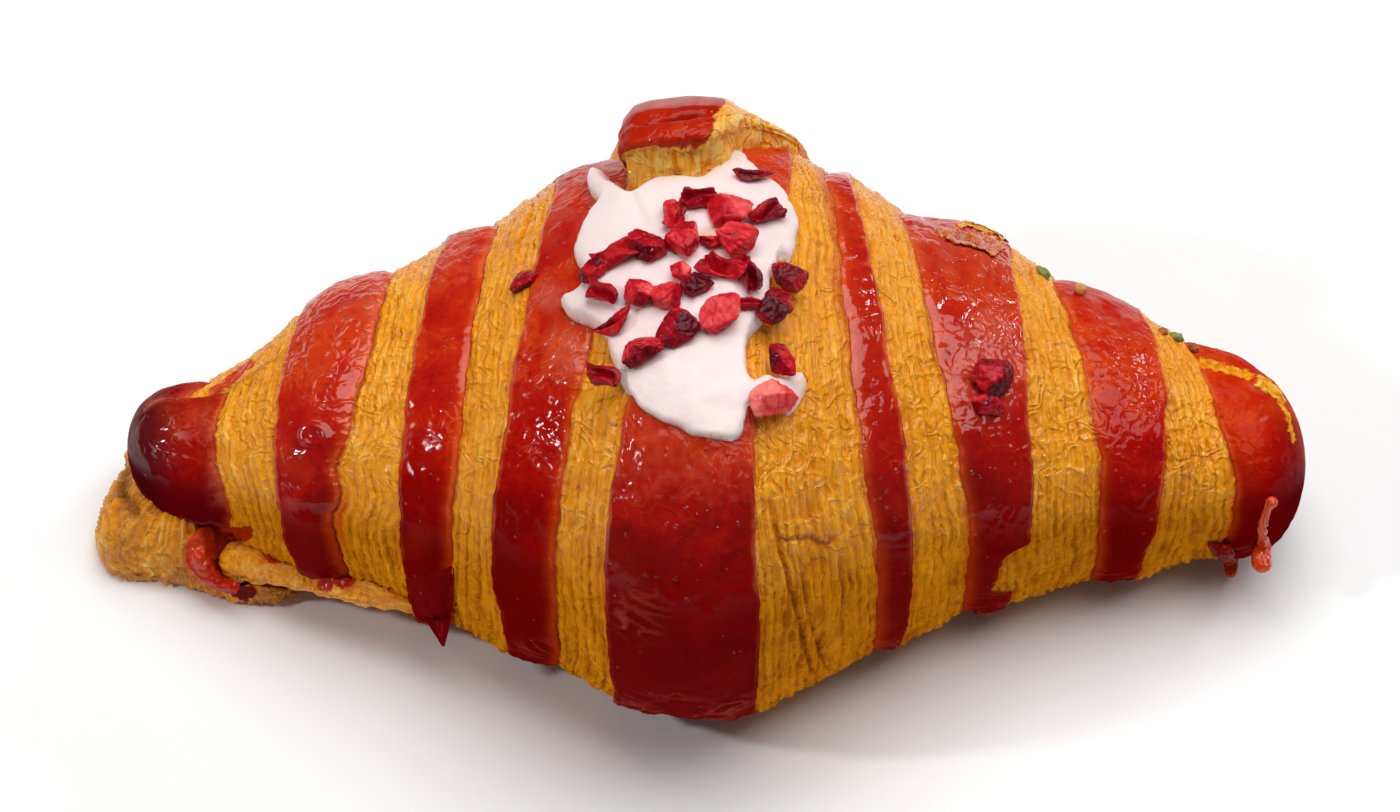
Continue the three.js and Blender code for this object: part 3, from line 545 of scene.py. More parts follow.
def displace(x, phi, K, T, E):
    """Height of the real surface over the smooth skin (mm) and what the material needs, at (x, phi)."""
    K = np.broadcast_to(K, x.shape)
    arc = arc_at(phi, x)
    wid = np.take_along_axis(E, (K + 1)[None], 0)[0] - np.take_along_axis(E, K[None], 0)[0]
    red, mid, left = K % 2 == 0, K == CENTRE, K < CENTRE
    inward = np.where(left, T, 1 - T)
    ql, qr = T * wid, (1 - T) * wid
    qo, qi = np.where(left, ql, qr), np.where(left, qr, ql)
    extra = np.zeros(x.shape)
    for b, v in BAND_EXTRA.items():
        extra = np.where(K == b, v * np.sin(np.pi * np.clip(0.15 + 0.7 * T, 0, 1)), extra)
    P = skin(x, phi)
    X, Y, Z = P[..., 0], P[..., 1], P[..., 2]
    # red sheet: high rounded outer edge, then sinking under the next wrap
    d_red = lerp(WRAP_HIGH - 0.12, WRAP_LOW + 0.15, inward) + 0.25 * np.sin(np.pi * T)
    d_red = np.where(mid, WRAP_HIGH, d_red)
    wx, wy, wz = (0.9 * noise(X / 5, Y / 5, Z / 5, seed=q) for q in (61, 62, 63))
    lump = 0.42 * fbm(X / 9, Y / 9, Z / 9, 2, seed=21) + 0.13 * noise(X / 2.9 + wx, Y / 2.9 + wy, Z / 2.9 + wz, seed=22)
    pucker = np.clip(0.25 + 1.4 * noise(X / 7, Y / 7, Z / 7, seed=23), 0, 1)
    wr = np.clip(1 - np.abs(noise(X / 1.7 + wx, Y / 1.7 + wy, Z / 1.7 + wz, seed=25)) * 3.0, 0, 1)
    lump = lump + 0.13 * pucker * wr
    f1, f2, own = cells(X / 3.1, Y / 3.1, Z / 3.1, seed=26)
    ring = bell(f1 - 0.30, 0.06) * 0.6
    lump = lump + np.where(own > 0.80, 0.11 * smooth((0.30 - f1) / 0.20), np.where(own > 0.74, 0.05 * ring, 0))
    crumple = np.clip(1 - 3.6 * np.abs(noise(X / 2.4 + 1.6 * wy, Y / 2.4 + 1.6 * wz, Z / 2.4 + 1.6 * wx, seed=28)), 0, 1)
    lump = lump + 0.16 * crumple * np.clip(smooth((phi - 118) / 30) * (0.5 + 1.2 * noise(X / 11, Y / 11, Z / 11, seed=29)), 0, 1)
    lip_m = np.where(mid, bell(ql - 0.5, 0.36) + bell(qr - 0.5, 0.36), bell(qo - 0.5, 0.36))
    drop = np.where(mid, bell(ql, 0.22) + bell(qr, 0.22), bell(qo, 0.22))
    sink = np.where(mid, 0, bell(qi, 0.45))
    edge_var = 0.8 + 0.7 * noise(arc / 5, K * 2.3, seed=27)
    d_red = (d_red + lump * np.clip(np.minimum(ql, qr) / 0.9, 0.25, 1) + 0.10 * edge_var * lip_m - 0.16 * drop
             - 0.22 * sink)
    # golden cut edge: folded layers that run along the band, with curled wrinkles across them
    warp = 0.8 * noise(arc / 24, K * 1.7, qo / 9, seed=31) + 0.28 * noise(arc / 8, K * 2.9, qo / 2.5, seed=32)
    lay = (qo + warp + 0.42 * noise(qo / 1.5, arc / 34, K * 5.1, seed=38)) / 1.30 + 40
    idx, fr = np.floor(lay), lay - np.floor(lay)
    keep = np.clip(0.55 + 0.9 * noise(idx * 5.3, arc / 7, K * 3.3, seed=33), 0.0, 1.2)
    pillow = 1 - np.abs(2 * fr - 1) ** 3.2
    lay2 = (qo + 1.2 * warp + 0.12 * noise(arc / 3, qo, K * 1.1, seed=40)) / 0.52 + 90
    fr2 = lay2 - np.floor(lay2)
    thin = 1 - (2 * fr2 - 1) ** 2
    keep2 = np.clip(0.3 + 1.3 * noise(np.floor(lay2) * 3.1, arc / 6, K * 1.3, seed=34), 0, 1)
    steps = 0.26 * noise(idx * 7.1, arc / 12, K * 2.1, seed=35)
    cx = qo / 1.15 + 1.3 * noise(qo / 2.2, arc / 2.2, K * 3.0, seed=46)
    cy = arc / 2.7 + 1.1 * noise(qo / 2.2, arc / 3.0, K * 3.0 + 40, seed=47)
    worm = np.clip(1 - 4.2 * np.abs(noise(cx, cy, K * 9.0, seed=48)), 0, 1)
    worm2 = np.clip(1 - 4.0 * np.abs(noise(cx * 1.9 + 7, cy * 1.6, K * 9.0, seed=49)), 0, 1)
    where_w = np.clip(0.45 + 1.3 * noise(idx * 2.7, arc / 9, K * 4.0, seed=50), 0.12, 1.0)
    knots = 0.22 * fbm(X / 2.4, Y / 2.4, Z / 2.4, 2, seed=36) + 0.16 * noise(X / 4.4, Y / 4.4, Z / 4.4, seed=43)
    ridge = np.clip(0.10 + 0.42 * pillow * (0.5 + 0.5 * keep) + 0.16 * worm * where_w + 0.10 * worm2 + 0.30 * thin * keep2 + 0.7 * knots, 0, 1)
    d_gold = (lerp(WRAP_LOW + 0.15, WRAP_HIGH - 0.5, inward) + 0.36 * (pillow - 0.6) * (0.25 + 0.75 * keep) + 0.19 * thin * keep2
              + steps + knots + 0.13 * worm * where_w + 0.08 * worm2 + 0.25 * noise(X / 7, Y / 7, Z / 7, seed=37))
    # in the wide band right of the centre the skin is torn and creased on a slant
    wide = K == 9
    slant = X - (9.3 + (118 - phi) * 0.105)
    d_gold = d_gold - np.where(wide, 0.45 * bell(slant, 0.42) * smooth((122 - phi) / 8) * smooth((phi - 66) / 10), 0)
    tear = phi - (97.5 + 1.3 * noise(X / 1.6, 2.2, seed=45))
    d_gold = d_gold + np.where(wide, 0.30 * smooth(tear / 0.8) * bell(tear, 7) * smooth((X - 10.5) / 1.2) * smooth((19 - X) / 2), 0)
    d_gold = d_gold - 0.14 * bell(qo, 0.42) - 0.08 * bell(qi, 0.3)
    d = np.where(red, d_red, d_gold) + extra
    # the fold across the narrow fifth red band
    d = d + np.where(K == 10, 0.35 * bell(phi - 176.0 - 0.8 * (x - 25), 1.6), 0)
    ragged = bell(phi - 56, 10) * (0.95 * fbm(X / 2.6, Y / 2.6, Z / 2.6, 3, seed=41) + 0.25) * np.where(red, 0.6, 1)
    zone = smooth((phi - 84) / 96) * smooth((330 - phi) / 70)
    near_red = np.where(red, 0, np.minimum(np.where(K > 0, ql, 9), np.where(K < 16, qr, 9)))
    st = np.where(red, 0.0, bell(near_red, 0.5 + 0.7 * np.clip(noise(arc / 6, K * 1.1, seed=51), 0, 1))
                  * np.clip(0.5 + 1.1 * noise(arc / 6, K * 4.1 + 3.0 * (ql < qr), seed=52), 0, 1))
    st = np.maximum(st, np.where(K == 9, bell(qr - 0.5, 1.0) * smooth((phi - 150) / 30) * 0.85, 0))
    st = np.maximum(st, np.where(K == 3, bell(ql - 0.8, 1.1) * bell(phi - 112, 16) * 0.9, 0))
    st = np.maximum(st, np.where(red & ~mid, bell(qi, 0.9) * 0.8, 0))
    st = np.maximum(st, np.where(red, 0.5 * np.clip(noise(X / 6, Y / 6, Z / 6, seed=54) * 1.6 - 0.25, 0, 1) * zone, 0))
    low = 1 - smooth((np.minimum(phi, 360 - phi) - 30) / 34)
    brown = np.clip(low * (0.75 + 0.5 * noise(X / 9, Y / 9, seed=53)), 0, 1)
    # darker along the joins where each red sheet tucks under the next golden edge: painted crease shade
    brown = np.maximum(brown, 0.30 * np.where(red, 0.4 * bell(qi, 0.3), bell(qo, 0.3)))
    vu, vv = seen(P)
    near = (phi > 42) & (phi < 238)
    milk = np.zeros(x.shape)
    # crumpled, lighter film on the centre band just below the icing, ending in a torn lip
    tear_v = 498 + 10 * noise(vu / 26, 3.0, seed=55) + 5 * noise(vu / 7, 5.0, seed=64) + 0.05 * (vu - 680)
    crum = np.where(mid & (phi > 60), smooth((tear_v - vv) / 9) * smooth((226 - phi) / 12), 0)
    dull = 0.62 * crum
    wrk = np.clip(1 - 3.4 * np.abs(noise(X / 1.5 + wy, Y / 1.5 + wz, Z / 1.5 + wx, seed=56)), 0, 1)
    d = d + crum * (0.09 * wrk + 0.05) + np.where(mid, 0.10 * bell(vv - tear_v, 3), 0)
    st = np.maximum(st, crum * (0.34 + 0.25 * wrk) * smooth((tear_v - 8 - vv) / 40))
    milk = np.maximum(milk, np.where(mid, 0.40 * bell(vv - tear_v, 2.0) * np.clip(0.4 + 1.6 * noise(vu / 8, 1.0, seed=65), 0, 1), 0)
                      + crum * 0.25 * np.clip(0.5 + noise(X / 1.2, Y / 1.2, Z / 1.2, seed=66), 0, 1))
    # creases where the red sheets turn under the front edge, with a painted pale reflection on their crests
    cr2 = np.clip(1 - 3.0 * np.abs(noise(X / 3.4 + wx, arc / 1.9, K * 3.0, seed=68)), 0, 1)
    low_w = np.where(red, smooth((87 - phi) / 12), 0) * np.clip(0.35 + 1.0 * noise(X / 6, phi / 9, seed=69), 0, 1)
    low_w = np.maximum(low_w, np.where(mid & near, 0.8 * smooth(1.4 - np.hypot((vu - 642) / 26, (vv - 610) / 26)), 0))
    d = d + 0.34 * low_w * cr2
    milk = np.maximum(milk, 0.42 * low_w * smooth((cr2 - 0.35) / 0.5))
    # loose film left of the icing, with small swirls
    c1 = smooth(1.35 - np.hypot((vu - 553) / 17, (vv - 298) / 18)) * ((K == 6) & near)
    c2 = smooth(1.35 - np.hypot((vu - 567) / 20, (vv - 350) / 28)) * ((K == 6) & near)
    d = d + 0.12 * c1 + 0.22 * c2 * wrk
    milk = np.maximum(milk, 0.85 * c1 * (0.4 + 0.6 * wrk) + 0.75 * c2 * (0.3 + 0.7 * wrk))
    st = np.maximum(st, 0.55 * c2)
    # pale, crackled patch on the sixth red band: a milky film with painted sheen over it
    mk = smooth(1.25 - np.hypot((vu - 984) / 36, (vv - 366) / 62)) * np.where((K == 12) & near, 1.0, 0)
    d = d + mk * 0.20 * wrk
    milk = np.maximum(milk, mk * (0.35 + 0.45 * wrk))
    # the same, fainter: right edge of the second band and left cap's right side; and painted sheen over the top of the
    # bands
    mk = np.where((K == 2) & near, bell(vu - (372 - 0.10 * (vv - 330)), 10) * smooth((470 - vv) / 60), 0)
    mk = np.maximum(mk, np.where((K == 0) & near, bell(line_dist(vu, vv, [(206, 415), (214, 450), (216, 500)])[0], 7) * 0.9, 0))
    # a raised fold across the left cap, with a painted highlight line along it
    fold, _ = line_dist(vu, vv, [(148, 412), (160, 402), (182, 398), (201, 392), (222, 388)])
    fold = np.where((K == 0) & near, bell(fold + 0.8 * noise(vu / 9, vv / 9, seed=86), 1.8), 0)
    d = d + 0.22 * fold
    mk = np.maximum(mk, 0.9 * fold)
    mk = np.maximum(mk, np.where(red & ~mid & (K != 10) & (K != 16), 0.50 * smooth((phi - 188) / 16) * smooth((242 - phi) / 18), 0))
    milk = np.maximum(milk, mk * np.clip(0.35 + 0.9 * noise(X / 3, Y / 3, Z / 3, seed=57) + 0.4 * wrk, 0, 1))
    # torn skin in the wide band right of the centre: a lifted lip with painted shadow below it, and slanted creases
    # darkened with painted shade
    lip, _ = line_dist(vu, vv, [(786, 535), (794, 531), (803, 534), (811, 527), (818, 536), (827, 540)])
    side = smooth((vv - 534 + 0 * vu) / 4)
    vary = np.clip(0.55 + 1.1 * noise(vu / 7, vv / 7, seed=67), 0, 1)
    d = d + np.where(wide & near, 0.34 * bell(lip, 2.2) * vary - 0.30 * bell(lip - 5, 2.4) * side, 0)
    ridge = np.clip(ridge + np.where(wide & near, 0.35 * bell(lip, 2.0) * vary - 0.75 * bell(lip - 5, 2.4) * side, 0), 0, 1)
    slant2, _ = line_dist(vu, vv, [(768, 500), (783, 560), (798, 620), (812, 672)])
    slant2 = np.minimum(slant2, line_dist(vu, vv, [(800, 556), (806, 610), (826, 668)])[0] + 1.0)
    d = d - np.where(wide & near, 0.5 * bell(slant2, 2.6), 0)
    ridge = np.clip(ridge - np.where(wide & near, 0.6 * bell(slant2, 2.4), 0), 0, 1)
    # right end: a ragged cavity under a thin rim, with painted shade inside it and a painted shadow line along its
    # lower edge, and a lighter edge running down the outside
    cav, cf = line_dist(vu, vv, [(1204, 357), (1222, 364), (1240, 371), (1250, 376)])
    cav = np.where(near & (K >= 15), bell(cav + 2.4 * noise(vu / 6, vv / 6, seed=58), 3.6), 0)
    cav_lo, _ = line_dist(vu, vv, [(1206, 361), (1222, 368), (1240, 375), (1250, 381)])
    cav_lo = np.where(near & (K >= 15), bell(cav_lo + 1.0 * noise(vu / 4, vv / 4, seed=70), 2.0), 0)
    side_e, _ = line_dist(vu, vv, [(1258, 384), (1272, 394), (1281, 408), (1287, 428), (1291, 446)])
    side_e = np.where(near & (K == 16), bell(side_e + 2.2 * noise(vu / 5, vv / 5, seed=76), 2.6 + 4.2 * smooth((412 - vv) / 22)), 0) * smooth((452 - vv) / 14)
    tan_m = np.maximum(cav > 0.42, side_e > 0.5)
    d = d - 0.9 * cav - 0.5 * cav_lo + 0.8 * side_e * (0.6 + 0.8 * noise(X / 1.5, Y / 1.5, Z / 1.5, seed=59))
    tip_l, tip_r = K == 0, K == 16
    brown = np.where(tip_l, np.maximum(brown, 0.52 + 0.70 * smooth((-71 - x) / 6) * smooth((phi - 60) / 30)), brown)
    brown = np.where(tip_r, np.maximum(brown, 0.62 * smooth((x - 77.5) / 5) * smooth((205 - phi) / 20)), brown)
    st = np.where(tip_r, np.maximum(st, 0.30 * smooth((79 - x) / 5) * smooth((phi - 110) / 30)), st)
    # a drop of syrup on the second band
    rr = np.hypot((vu - 318) / 12.5, (vv - 437) / 10.5)
    drop_m = np.where((K == 2) & near, 1.0, 0)
    d = d + drop_m * (0.36 * bell(rr - 0.85, 0.30) + 0.10 * smooth(1.0 - rr))
    dull = np.maximum(dull, np.where((K == 4) | (K == 6), 0.74, 0.0) * (1 - 0.6 * smooth((phi - 150) / 12)))
    dull = np.maximum(dull, np.where(tip_l, 0.88 - 0.83 * smooth(1.6 - np.hypot((vu - 160) / 22, (vv - 446) / 28)), 0))
    dull = np.maximum(dull, np.where(tip_r, 0.88, 0))
    dull = np.maximum(dull, np.where(K == 14, 0.50, 0))
    # small puckers over the left cap
    puck = np.where(tip_l, smooth(1.3 - np.hypot((vu - 168) / 34, (vv - 452) / 40)), 0)
    d = d + puck * 0.24 * noise(X / 1.3, Y / 1.3, Z / 1.3, seed=60) + np.where(tip_l, 0.10 * noise(X / 2.2, Y / 2.2, Z / 2.2, seed=78), 0)
    total = (d * fade(phi) + ragged) * np.maximum(closing(x), 0.35 * (tip_l | tip_r))
    red_m = np.where(tan_m > 0, 0.0, red.astype(float))
    strip_l, _ = line_dist(vu, vv, [(214, 538), (232, 536), (246, 534)])
    strip_m = (strip_l + 1.5 * noise(vu / 5, vv / 5, seed=85) < 6.5) & (K <= 1) & (phi < 125) & (phi > 42)
    streak, _ = line_dist(vu, vv, [(249, 364), (233, 377), (213, 389)])
    streak = near & (K <= 1) & (phi > 150) & (streak + 1.2 * noise(vu / 5, vv / 5, seed=87) < 4.6)
    strip_m = strip_m | streak
    red_m = np.where(strip_m, 1.0, red_m)
    st = np.where(strip_m, 0.55, st)
    brown = np.where(strip_m, 0.0, brown)
    # painted shade inside the cavity, and a painted shadow line along its lower side
    brown = np.where(tan_m > 0, 0.15 * smooth((cav - 0.6) / 0.3), brown)
    brown = np.maximum(brown, 0.8 * smooth((cav_lo - 0.45) / 0.4))
    ridge = np.where(tan_m > 0, np.clip(0.45 + 1.1 * noise(X / 0.9, Y / 0.9, Z / 0.9, seed=77) + 0.3 * side_e, 0, 1), ridge)
    st = np.where(tan_m > 0, 0.10, st)
    rim = np.where(red, bell(ql - 0.35, 0.20) + bell(qr - 0.35, 0.20), 0) * fade(phi)
    attrs = {"red": red_m, "ridge": ridge, "zone": zone, "stain": st, "brown": brown, "rim": np.clip(rim, 0, 1), "milk": np.clip(milk, 0, 1),
             "dull": np.clip(dull, 0, 1), "strand": np.stack([qo, arc, K * 1.0], -1)}
    return total, attrs


def surface_height(x, phi):
    """The same height at any place (x, phi)."""
    x, phi = np.broadcast_arrays(np.asarray(x, float), np.asarray(phi, float))
    E = edges_at(phi)
    K = np.clip((E[1:17] < x[None]).sum(0), 0, 16)
    lo_e = np.take_along_axis(E, K[None], 0)[0]
    hi_e = np.take_along_axis(E, (K + 1)[None], 0)[0]
    return displace(x, phi, K, np.clip((x - lo_e) / (hi_e - lo_e), 0, 1), E)


def loaf():
    ks, ts = [], []
    probe = np.array([90.0, 150.0, 200.0])
    for k in range(17):
        wid = float(np.max(edge(k + 1, probe) - edge(k, probe)))
        n = max(10, int(round(wid / 0.24)))
        t = np.linspace(0, 1, n + 1)
        t[0], t[-1] = 0.05 / wid, 1 - 0.05 / wid
        if k == 0:
            t = t[1:]
        if k == 16:
            t = t[:-1]
        ks += [k] * len(t)
        ts += t.tolist()
    k, t = np.array(ks)[:, None], np.array(ts)[:, None]
    f = np.where(k == 0, 1 - np.cos(t * np.pi / 2), np.where(k == 16, np.sin(t * np.pi / 2), t))
    Er = edges_at(PHI)
    kk = k[:, 0]
    x = lerp(Er[kk], Er[kk + 1], f)
    phi = np.broadcast_to(PHI[None, :], x.shape)
    E = np.broadcast_to(Er[:, None, :], (18,) + x.shape)
    d, attrs = displace(x, phi, k, f, E)
    P, N = skin(x, phi), skin_normal(x, phi)
    V = P + N * d[..., None]
    floor_z = np.where(closing(x) < 1, P[..., 2].min(axis=1, keepdims=True), skin(x, 0 * x)[..., 2])
    under = 0.24 * np.clip(fbm(x / 2.6, P[..., 1] / 2.6, 0.0, 3, seed=42) + 0.25, 0, 1) * ((phi < 40) | (phi > 320))
    V[..., 2] = np.maximum(V[..., 2], floor_z + under)
    pole_l, pole_r = skin(TIP_L, 0.0), skin(TIP_R, 0.0)
    n = x.size
    verts = np.vstack([V.reshape(-1, 3), pole_l[None], pole_r[None]])
    out = {}
    for key, val in attrs.items():
        ends = {"red": (1, 1), "zone": (0.5, 0.5)}.get(key, (0, 0))
        if val.ndim == 3:
            out[key] = np.vstack([val.reshape(-1, 3), [[0, 0, 0], [0, 0, 16]]])
        else:
            out[key] = np.append(val.reshape(-1), ends)
    return verts, tube_faces(ROWS, x.shape[0], first=n, last=n + 1), out


def grid_normals(V, wrap):
    """Vertex normals of a (columns, rows) grid of points."""
    du = np.gradient(V, axis=0)
    if wrap:
        dv = np.roll(V, -1, axis=1) - np.roll(V, 1, axis=1)
    else:
        dv = np.gradient(V, axis=1)
    n = np.cross(du, dv)
    return n / (np.linalg.norm(n, axis=-1, keepdims=True) + 1e-9)


def resample(points, n):
    """n points evenly along a smooth open curve through the given ones."""
    pts = np.asarray(points, float)
    p = np.vstack([2 * pts[0] - pts[1], pts, 2 * pts[-1] - pts[-2]])
    out = []
    for i in range(len(pts) - 1):
        p0, p1, p2, p3 = p[i:i + 4]
        t = np.linspace(0, 1, 24, endpoint=False)[:, None]
        out.append(0.5 * (2 * p1 + (p2 - p0) * t + (2 * p0 - 5 * p1 + 4 * p2 - p3) * t ** 2
                          + (3 * p1 - p0 - 3 * p2 + p3) * t ** 3))
    c = np.vstack(out + [pts[-1:]])
    s = np.r_[0, np.cumsum(np.linalg.norm(np.diff(c[:, :3], axis=0), axis=1))]
    q = np.linspace(0, s[-1], n)
    return np.stack([np.interp(q, s, c[:, j]) for j in range(c.shape[1])], 1)


verts, faces, attrs = loaf()
# The CAD part moves its group so that the origin is the bottom centre of the box; follow it.
lo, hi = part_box("croissant")
SHIFT = np.array([hi.x / MM - TIP_R, 0.0, 0.0])
SHIFT[1] = lo.y / MM - verts[:, 1].min()


def finish_piece(name, verts, faces, attrs, node, slot, material):
    ob = make_mesh(name, verts + SHIFT, faces, material, attrs)
    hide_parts(node)
    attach(ob, "root")
    return ob


finish_piece("loaf", verts, faces, attrs, "croissant", "baked_dough", DOUGH)


# ------------------------------------------------------------------ the free end of the dough strip
def tongue():
    prof = [(0.2, -1.8), (0.2, 0.6), (0.5, 3.0), (0.8, 5.2), (0.7, 6.4), (-0.4, 6.8), (-1.0, 7.5), (-0.4, 8.25),
            (1.2, 8.7), (3.2, 8.8), (5.3, 8.5), (7.2, 8.65), (10.5, 8.6), (18, 7.8), (26, 7.1), (38, 6.0), (54, 4.5),
            (76, 2.2), (95, 0.5), (99, -1.6)]
    c = np.array(prof)
    w = c.copy()
    w[:, 0] *= 0.68
    c = resample(np.column_stack([w, np.arange(len(w))]), 230)
    front, dphi0, h0 = c[:, 2], c[:, 0] / 0.68, c[:, 1]
    # dense at the front, sparser over the back
    s = np.r_[0, np.cumsum(np.hypot(np.diff(c[:, 0]), np.diff(c[:, 1])))]
    q = np.concatenate([np.linspace(0, 20, 120, endpoint=False), np.linspace(20, s[-1], 100)])
    front, dphi0, h0 = (np.interp(q, s, a) for a in (front, dphi0, h0))
    back = np.linspace(1, 0, 16)[1:-1]
    front = np.r_[front, np.full(len(back), -1.0)]
    dphi0 = np.r_[dphi0, 99 * back + 0.2 * (1 - back)]
    h0 = np.r_[h0, np.full(len(back), -1.9)]
    ref = np.linspace(-10.6, 12.8, 84)
    size = hermite([(-10.6, 0.80), (-9.8, 0.89), (-8.2, 0.96), (-5, 0.99), (-1, 1.0), (1.6, 0.96), (3.2, 0.88), (4.6, 0.70), (6.5, 0.55),
                    (9, 0.43), (12.8, 0.25)], ref)
    start = hermite([(-10.6, 206.4), (-8.5, 205.2), (-6, 204.7), (-2, 205.0), (1.0, 206.4), (3.4, 210.5), (5.2, 219), (9, 226),
                     (12.8, 234)], ref)
    lipf = smooth((4.6 - ref) / 2.5)
    R, D, H = ref[:, None], dphi0[None, :], h0[None, :]
    F = np.broadcast_to(front[None, :], (len(ref), len(front)))
    D = np.where(D < 1.5, D * (0.25 + 0.75 * lipf[:, None]) + 0.4 * (1 - lipf[:, None]), D)
    span = (307 - start)[:, None] / 104.0
    phi = start[:, None] + np.where(D > 3, 3 + (D - 3) * span, D)
    h = np.where(H > 0, H * size[:, None], H)
    u = (R + 10.6) / 23.4
    g = smooth((phi - 232) / 70)
    x = lerp(lerp(-8.9, -18.5, g), lerp(12.8, 23.2, g), u)
    x = x + 0.5 * noise(F / 1.4, R / 3.0, seed=71) * (np.abs(u - 0.5) * 2) ** 3
    V = skin(x, phi) + skin_normal(x, phi) * h[..., None]
    # close both sides with rings that shrink towards the middle of the section
    mid_h = np.where(h > 0, 1.0, h)
    rings_l, rings_r = [], []
    for f, out in ((0.94, 0.25), (0.86, 0.42), (0.76, 0.5), (0.64, 0.5), (0.5, 0.42), (0.36, 0.3), (0.2, 0.2), (0.05, 0.1)):
        for store, i, sgn in ((rings_l, 0, -1), (rings_r, -1, 1)):
            hh = lerp(np.minimum(h[i], 0.4) - 0.2, h[i], f)
            ph = lerp(start[i] + np.clip((phi[i] - start[i]), 4, 96), phi[i], f)
            xx = x[i] + sgn * out
            store.append((skin(xx, ph) + skin_normal(xx, ph) * hh[:, None], F[i], np.full(F[i].shape, ref[i]), ph, hh))
    stack = rings_l[::-1] + [(V[i], F[i], np.full(F[i].shape, ref[i]), phi[i], h[i]) for i in range(len(ref))] + rings_r
    G = np.array([r[0] for r in stack])
    F, R, phi, h = (np.array([r[j] for r in stack]) for j in (1, 2, 3, 4))
    n = grid_normals(G, True)
    if np.sum(n[len(n) // 2, 60:90, 2]) < 0:
        n = -n
    wob = 0.5 * noise(G[..., 0] / 2.2, G[..., 1] / 2.2, G[..., 2] / 2.2, seed=72)
    g = smooth((phi - 232) / 70)
    # where the red film starts over the front face: low at the left, above the torn bit on the right
    edge_l = 4.85 + 0.7 * wob + 0.25 * noise(R / 0.9, 2.0, seed=83) + 4.4 * smooth((R + 0.6 - 0.8 * wob) / 2.6)
    red_r = lerp(3.5, 7.75, g) + 0.6 * noise(phi / 4, 1.0, seed=73) - 1.6 * smooth((12.5 - F) / 3) * (F > 6)
    red_l = lerp(-12.5, -9.9, g) + 3.6 * smooth((phi - 240) / 14) * (1 - g * 0.9)
    is_red = (F > edge_l) & (G[..., 0] < red_r) & (G[..., 0] > red_l)
    face = (F > 0.6) & (F < edge_l + 0.2) & (F < 9)
    streak = 0.42 * noise(G[..., 0] / 0.75, h / 5.0, seed=74) + 0.22 * noise(G[..., 0] / 0.34, h / 2.4, seed=75)
    streak = np.where(face, streak + 0.35 * noise(G[..., 0] / 3, h / 2, seed=76), 0)
    ruffle = 1.3 * bell(R + 1.9, 2.4) * bell(F - (4.5 + 0.35 * noise(R / 1.2, seed=77)), 0.45)
    slit = bell(F - (10.0 + 0.45 * noise(R / 2.0, 3.0, seed=78) + 0.07 * R), 0.30) * smooth((R + 8.6) / 1.8) * smooth((0.2 - R) / 3.0)
    lines = 0.30 * noise((R + 10.6 - 2.5 * g) / 0.9, phi / 9.0, seed=79) + 0.14 * noise((R + 1.5 * g) / 0.4, phi / 5.0, seed=80)
    lines = np.where(~is_red & ~face, lines, 0)
    skinny = np.where(is_red, 0.14 * fbm(G[..., 0] / 2.6, G[..., 1] / 2.6, G[..., 2] / 2.6, 2, seed=81), 0.18 * wob)
    d = np.clip(F, 0, 1) * (streak + lines + skinny) + ruffle - 1.9 * slit
    d = d + 0.45 * bell(F - 11.2, 0.8) * smooth((R + 10.0) / 1.5) * smooth((2.5 - R) / 2.0) * (F > 10)
    d = np.where((F < 0) | (F > 18.8), 0, d)
    G = G + n * d[..., None]
    # the front face gets a high crest value, which lightens it: painted light on a face that lies in shade under the
    # lip
    ridge = np.clip(np.where(face, 0.90, 0.62) + 0.9 * np.where(face, streak, lines) + 0.5 * ruffle, 0, 1)
    cols, rows = G.shape[:2]
    zone = np.where(face, 1.0, np.where(is_red, 0.70, 1.0)) * smooth((345 - phi) / 50)
    # the slit is darkened with painted shade, and the pale colour near the cap's top is painted sheen
    attrs = {"red": is_red.astype(float), "ridge": ridge, "zone": zone,
             "stain": np.where(face, 0.10 * np.clip(noise(R / 2, h / 1.5, seed=82), 0, 1), np.where(is_red & (phi < 240), 0.25, 0.0)),
             "brown": np.clip(np.where(is_red, 0.14, 0.0) + 1.0 * slit, 0, 1) * (phi < 240), "rim": np.zeros(phi.shape),
             "milk": np.where(is_red, 0.55 * smooth((F - 11.0) / 1.5) * np.clip(0.6 + noise(R / 2.5, F, seed=84), 0, 1), 0.0),
             "dull": np.where(is_red, 0.62, 0.15),
             "strand": np.stack([np.where(face, G[..., 0], R), np.where(face, h, phi * 0.7), R * 0 + 20], -1)}
    ends = []
    for i in (0, -1):
        ends.append(G[i].mean(axis=0))
    verts = np.vstack([G.reshape(-1, 3), ends[0][None], ends[1][None]])
    out = {}
    for key, val in attrs.items():
        if val.ndim == 3:
            out[key] = np.vstack([val.reshape(-1, 3), val[0].mean(0)[None], val[-1].mean(0)[None]])
        else:
            out[key] = np.append(val.reshape(-1), [val[0].mean(), val[-1].mean()])
    return verts, tube_faces(rows, cols, first=cols * rows, last=cols * rows + 1), out


finish_piece("strip_end", *tongue(), "croissant", "baked_dough", DOUGH)


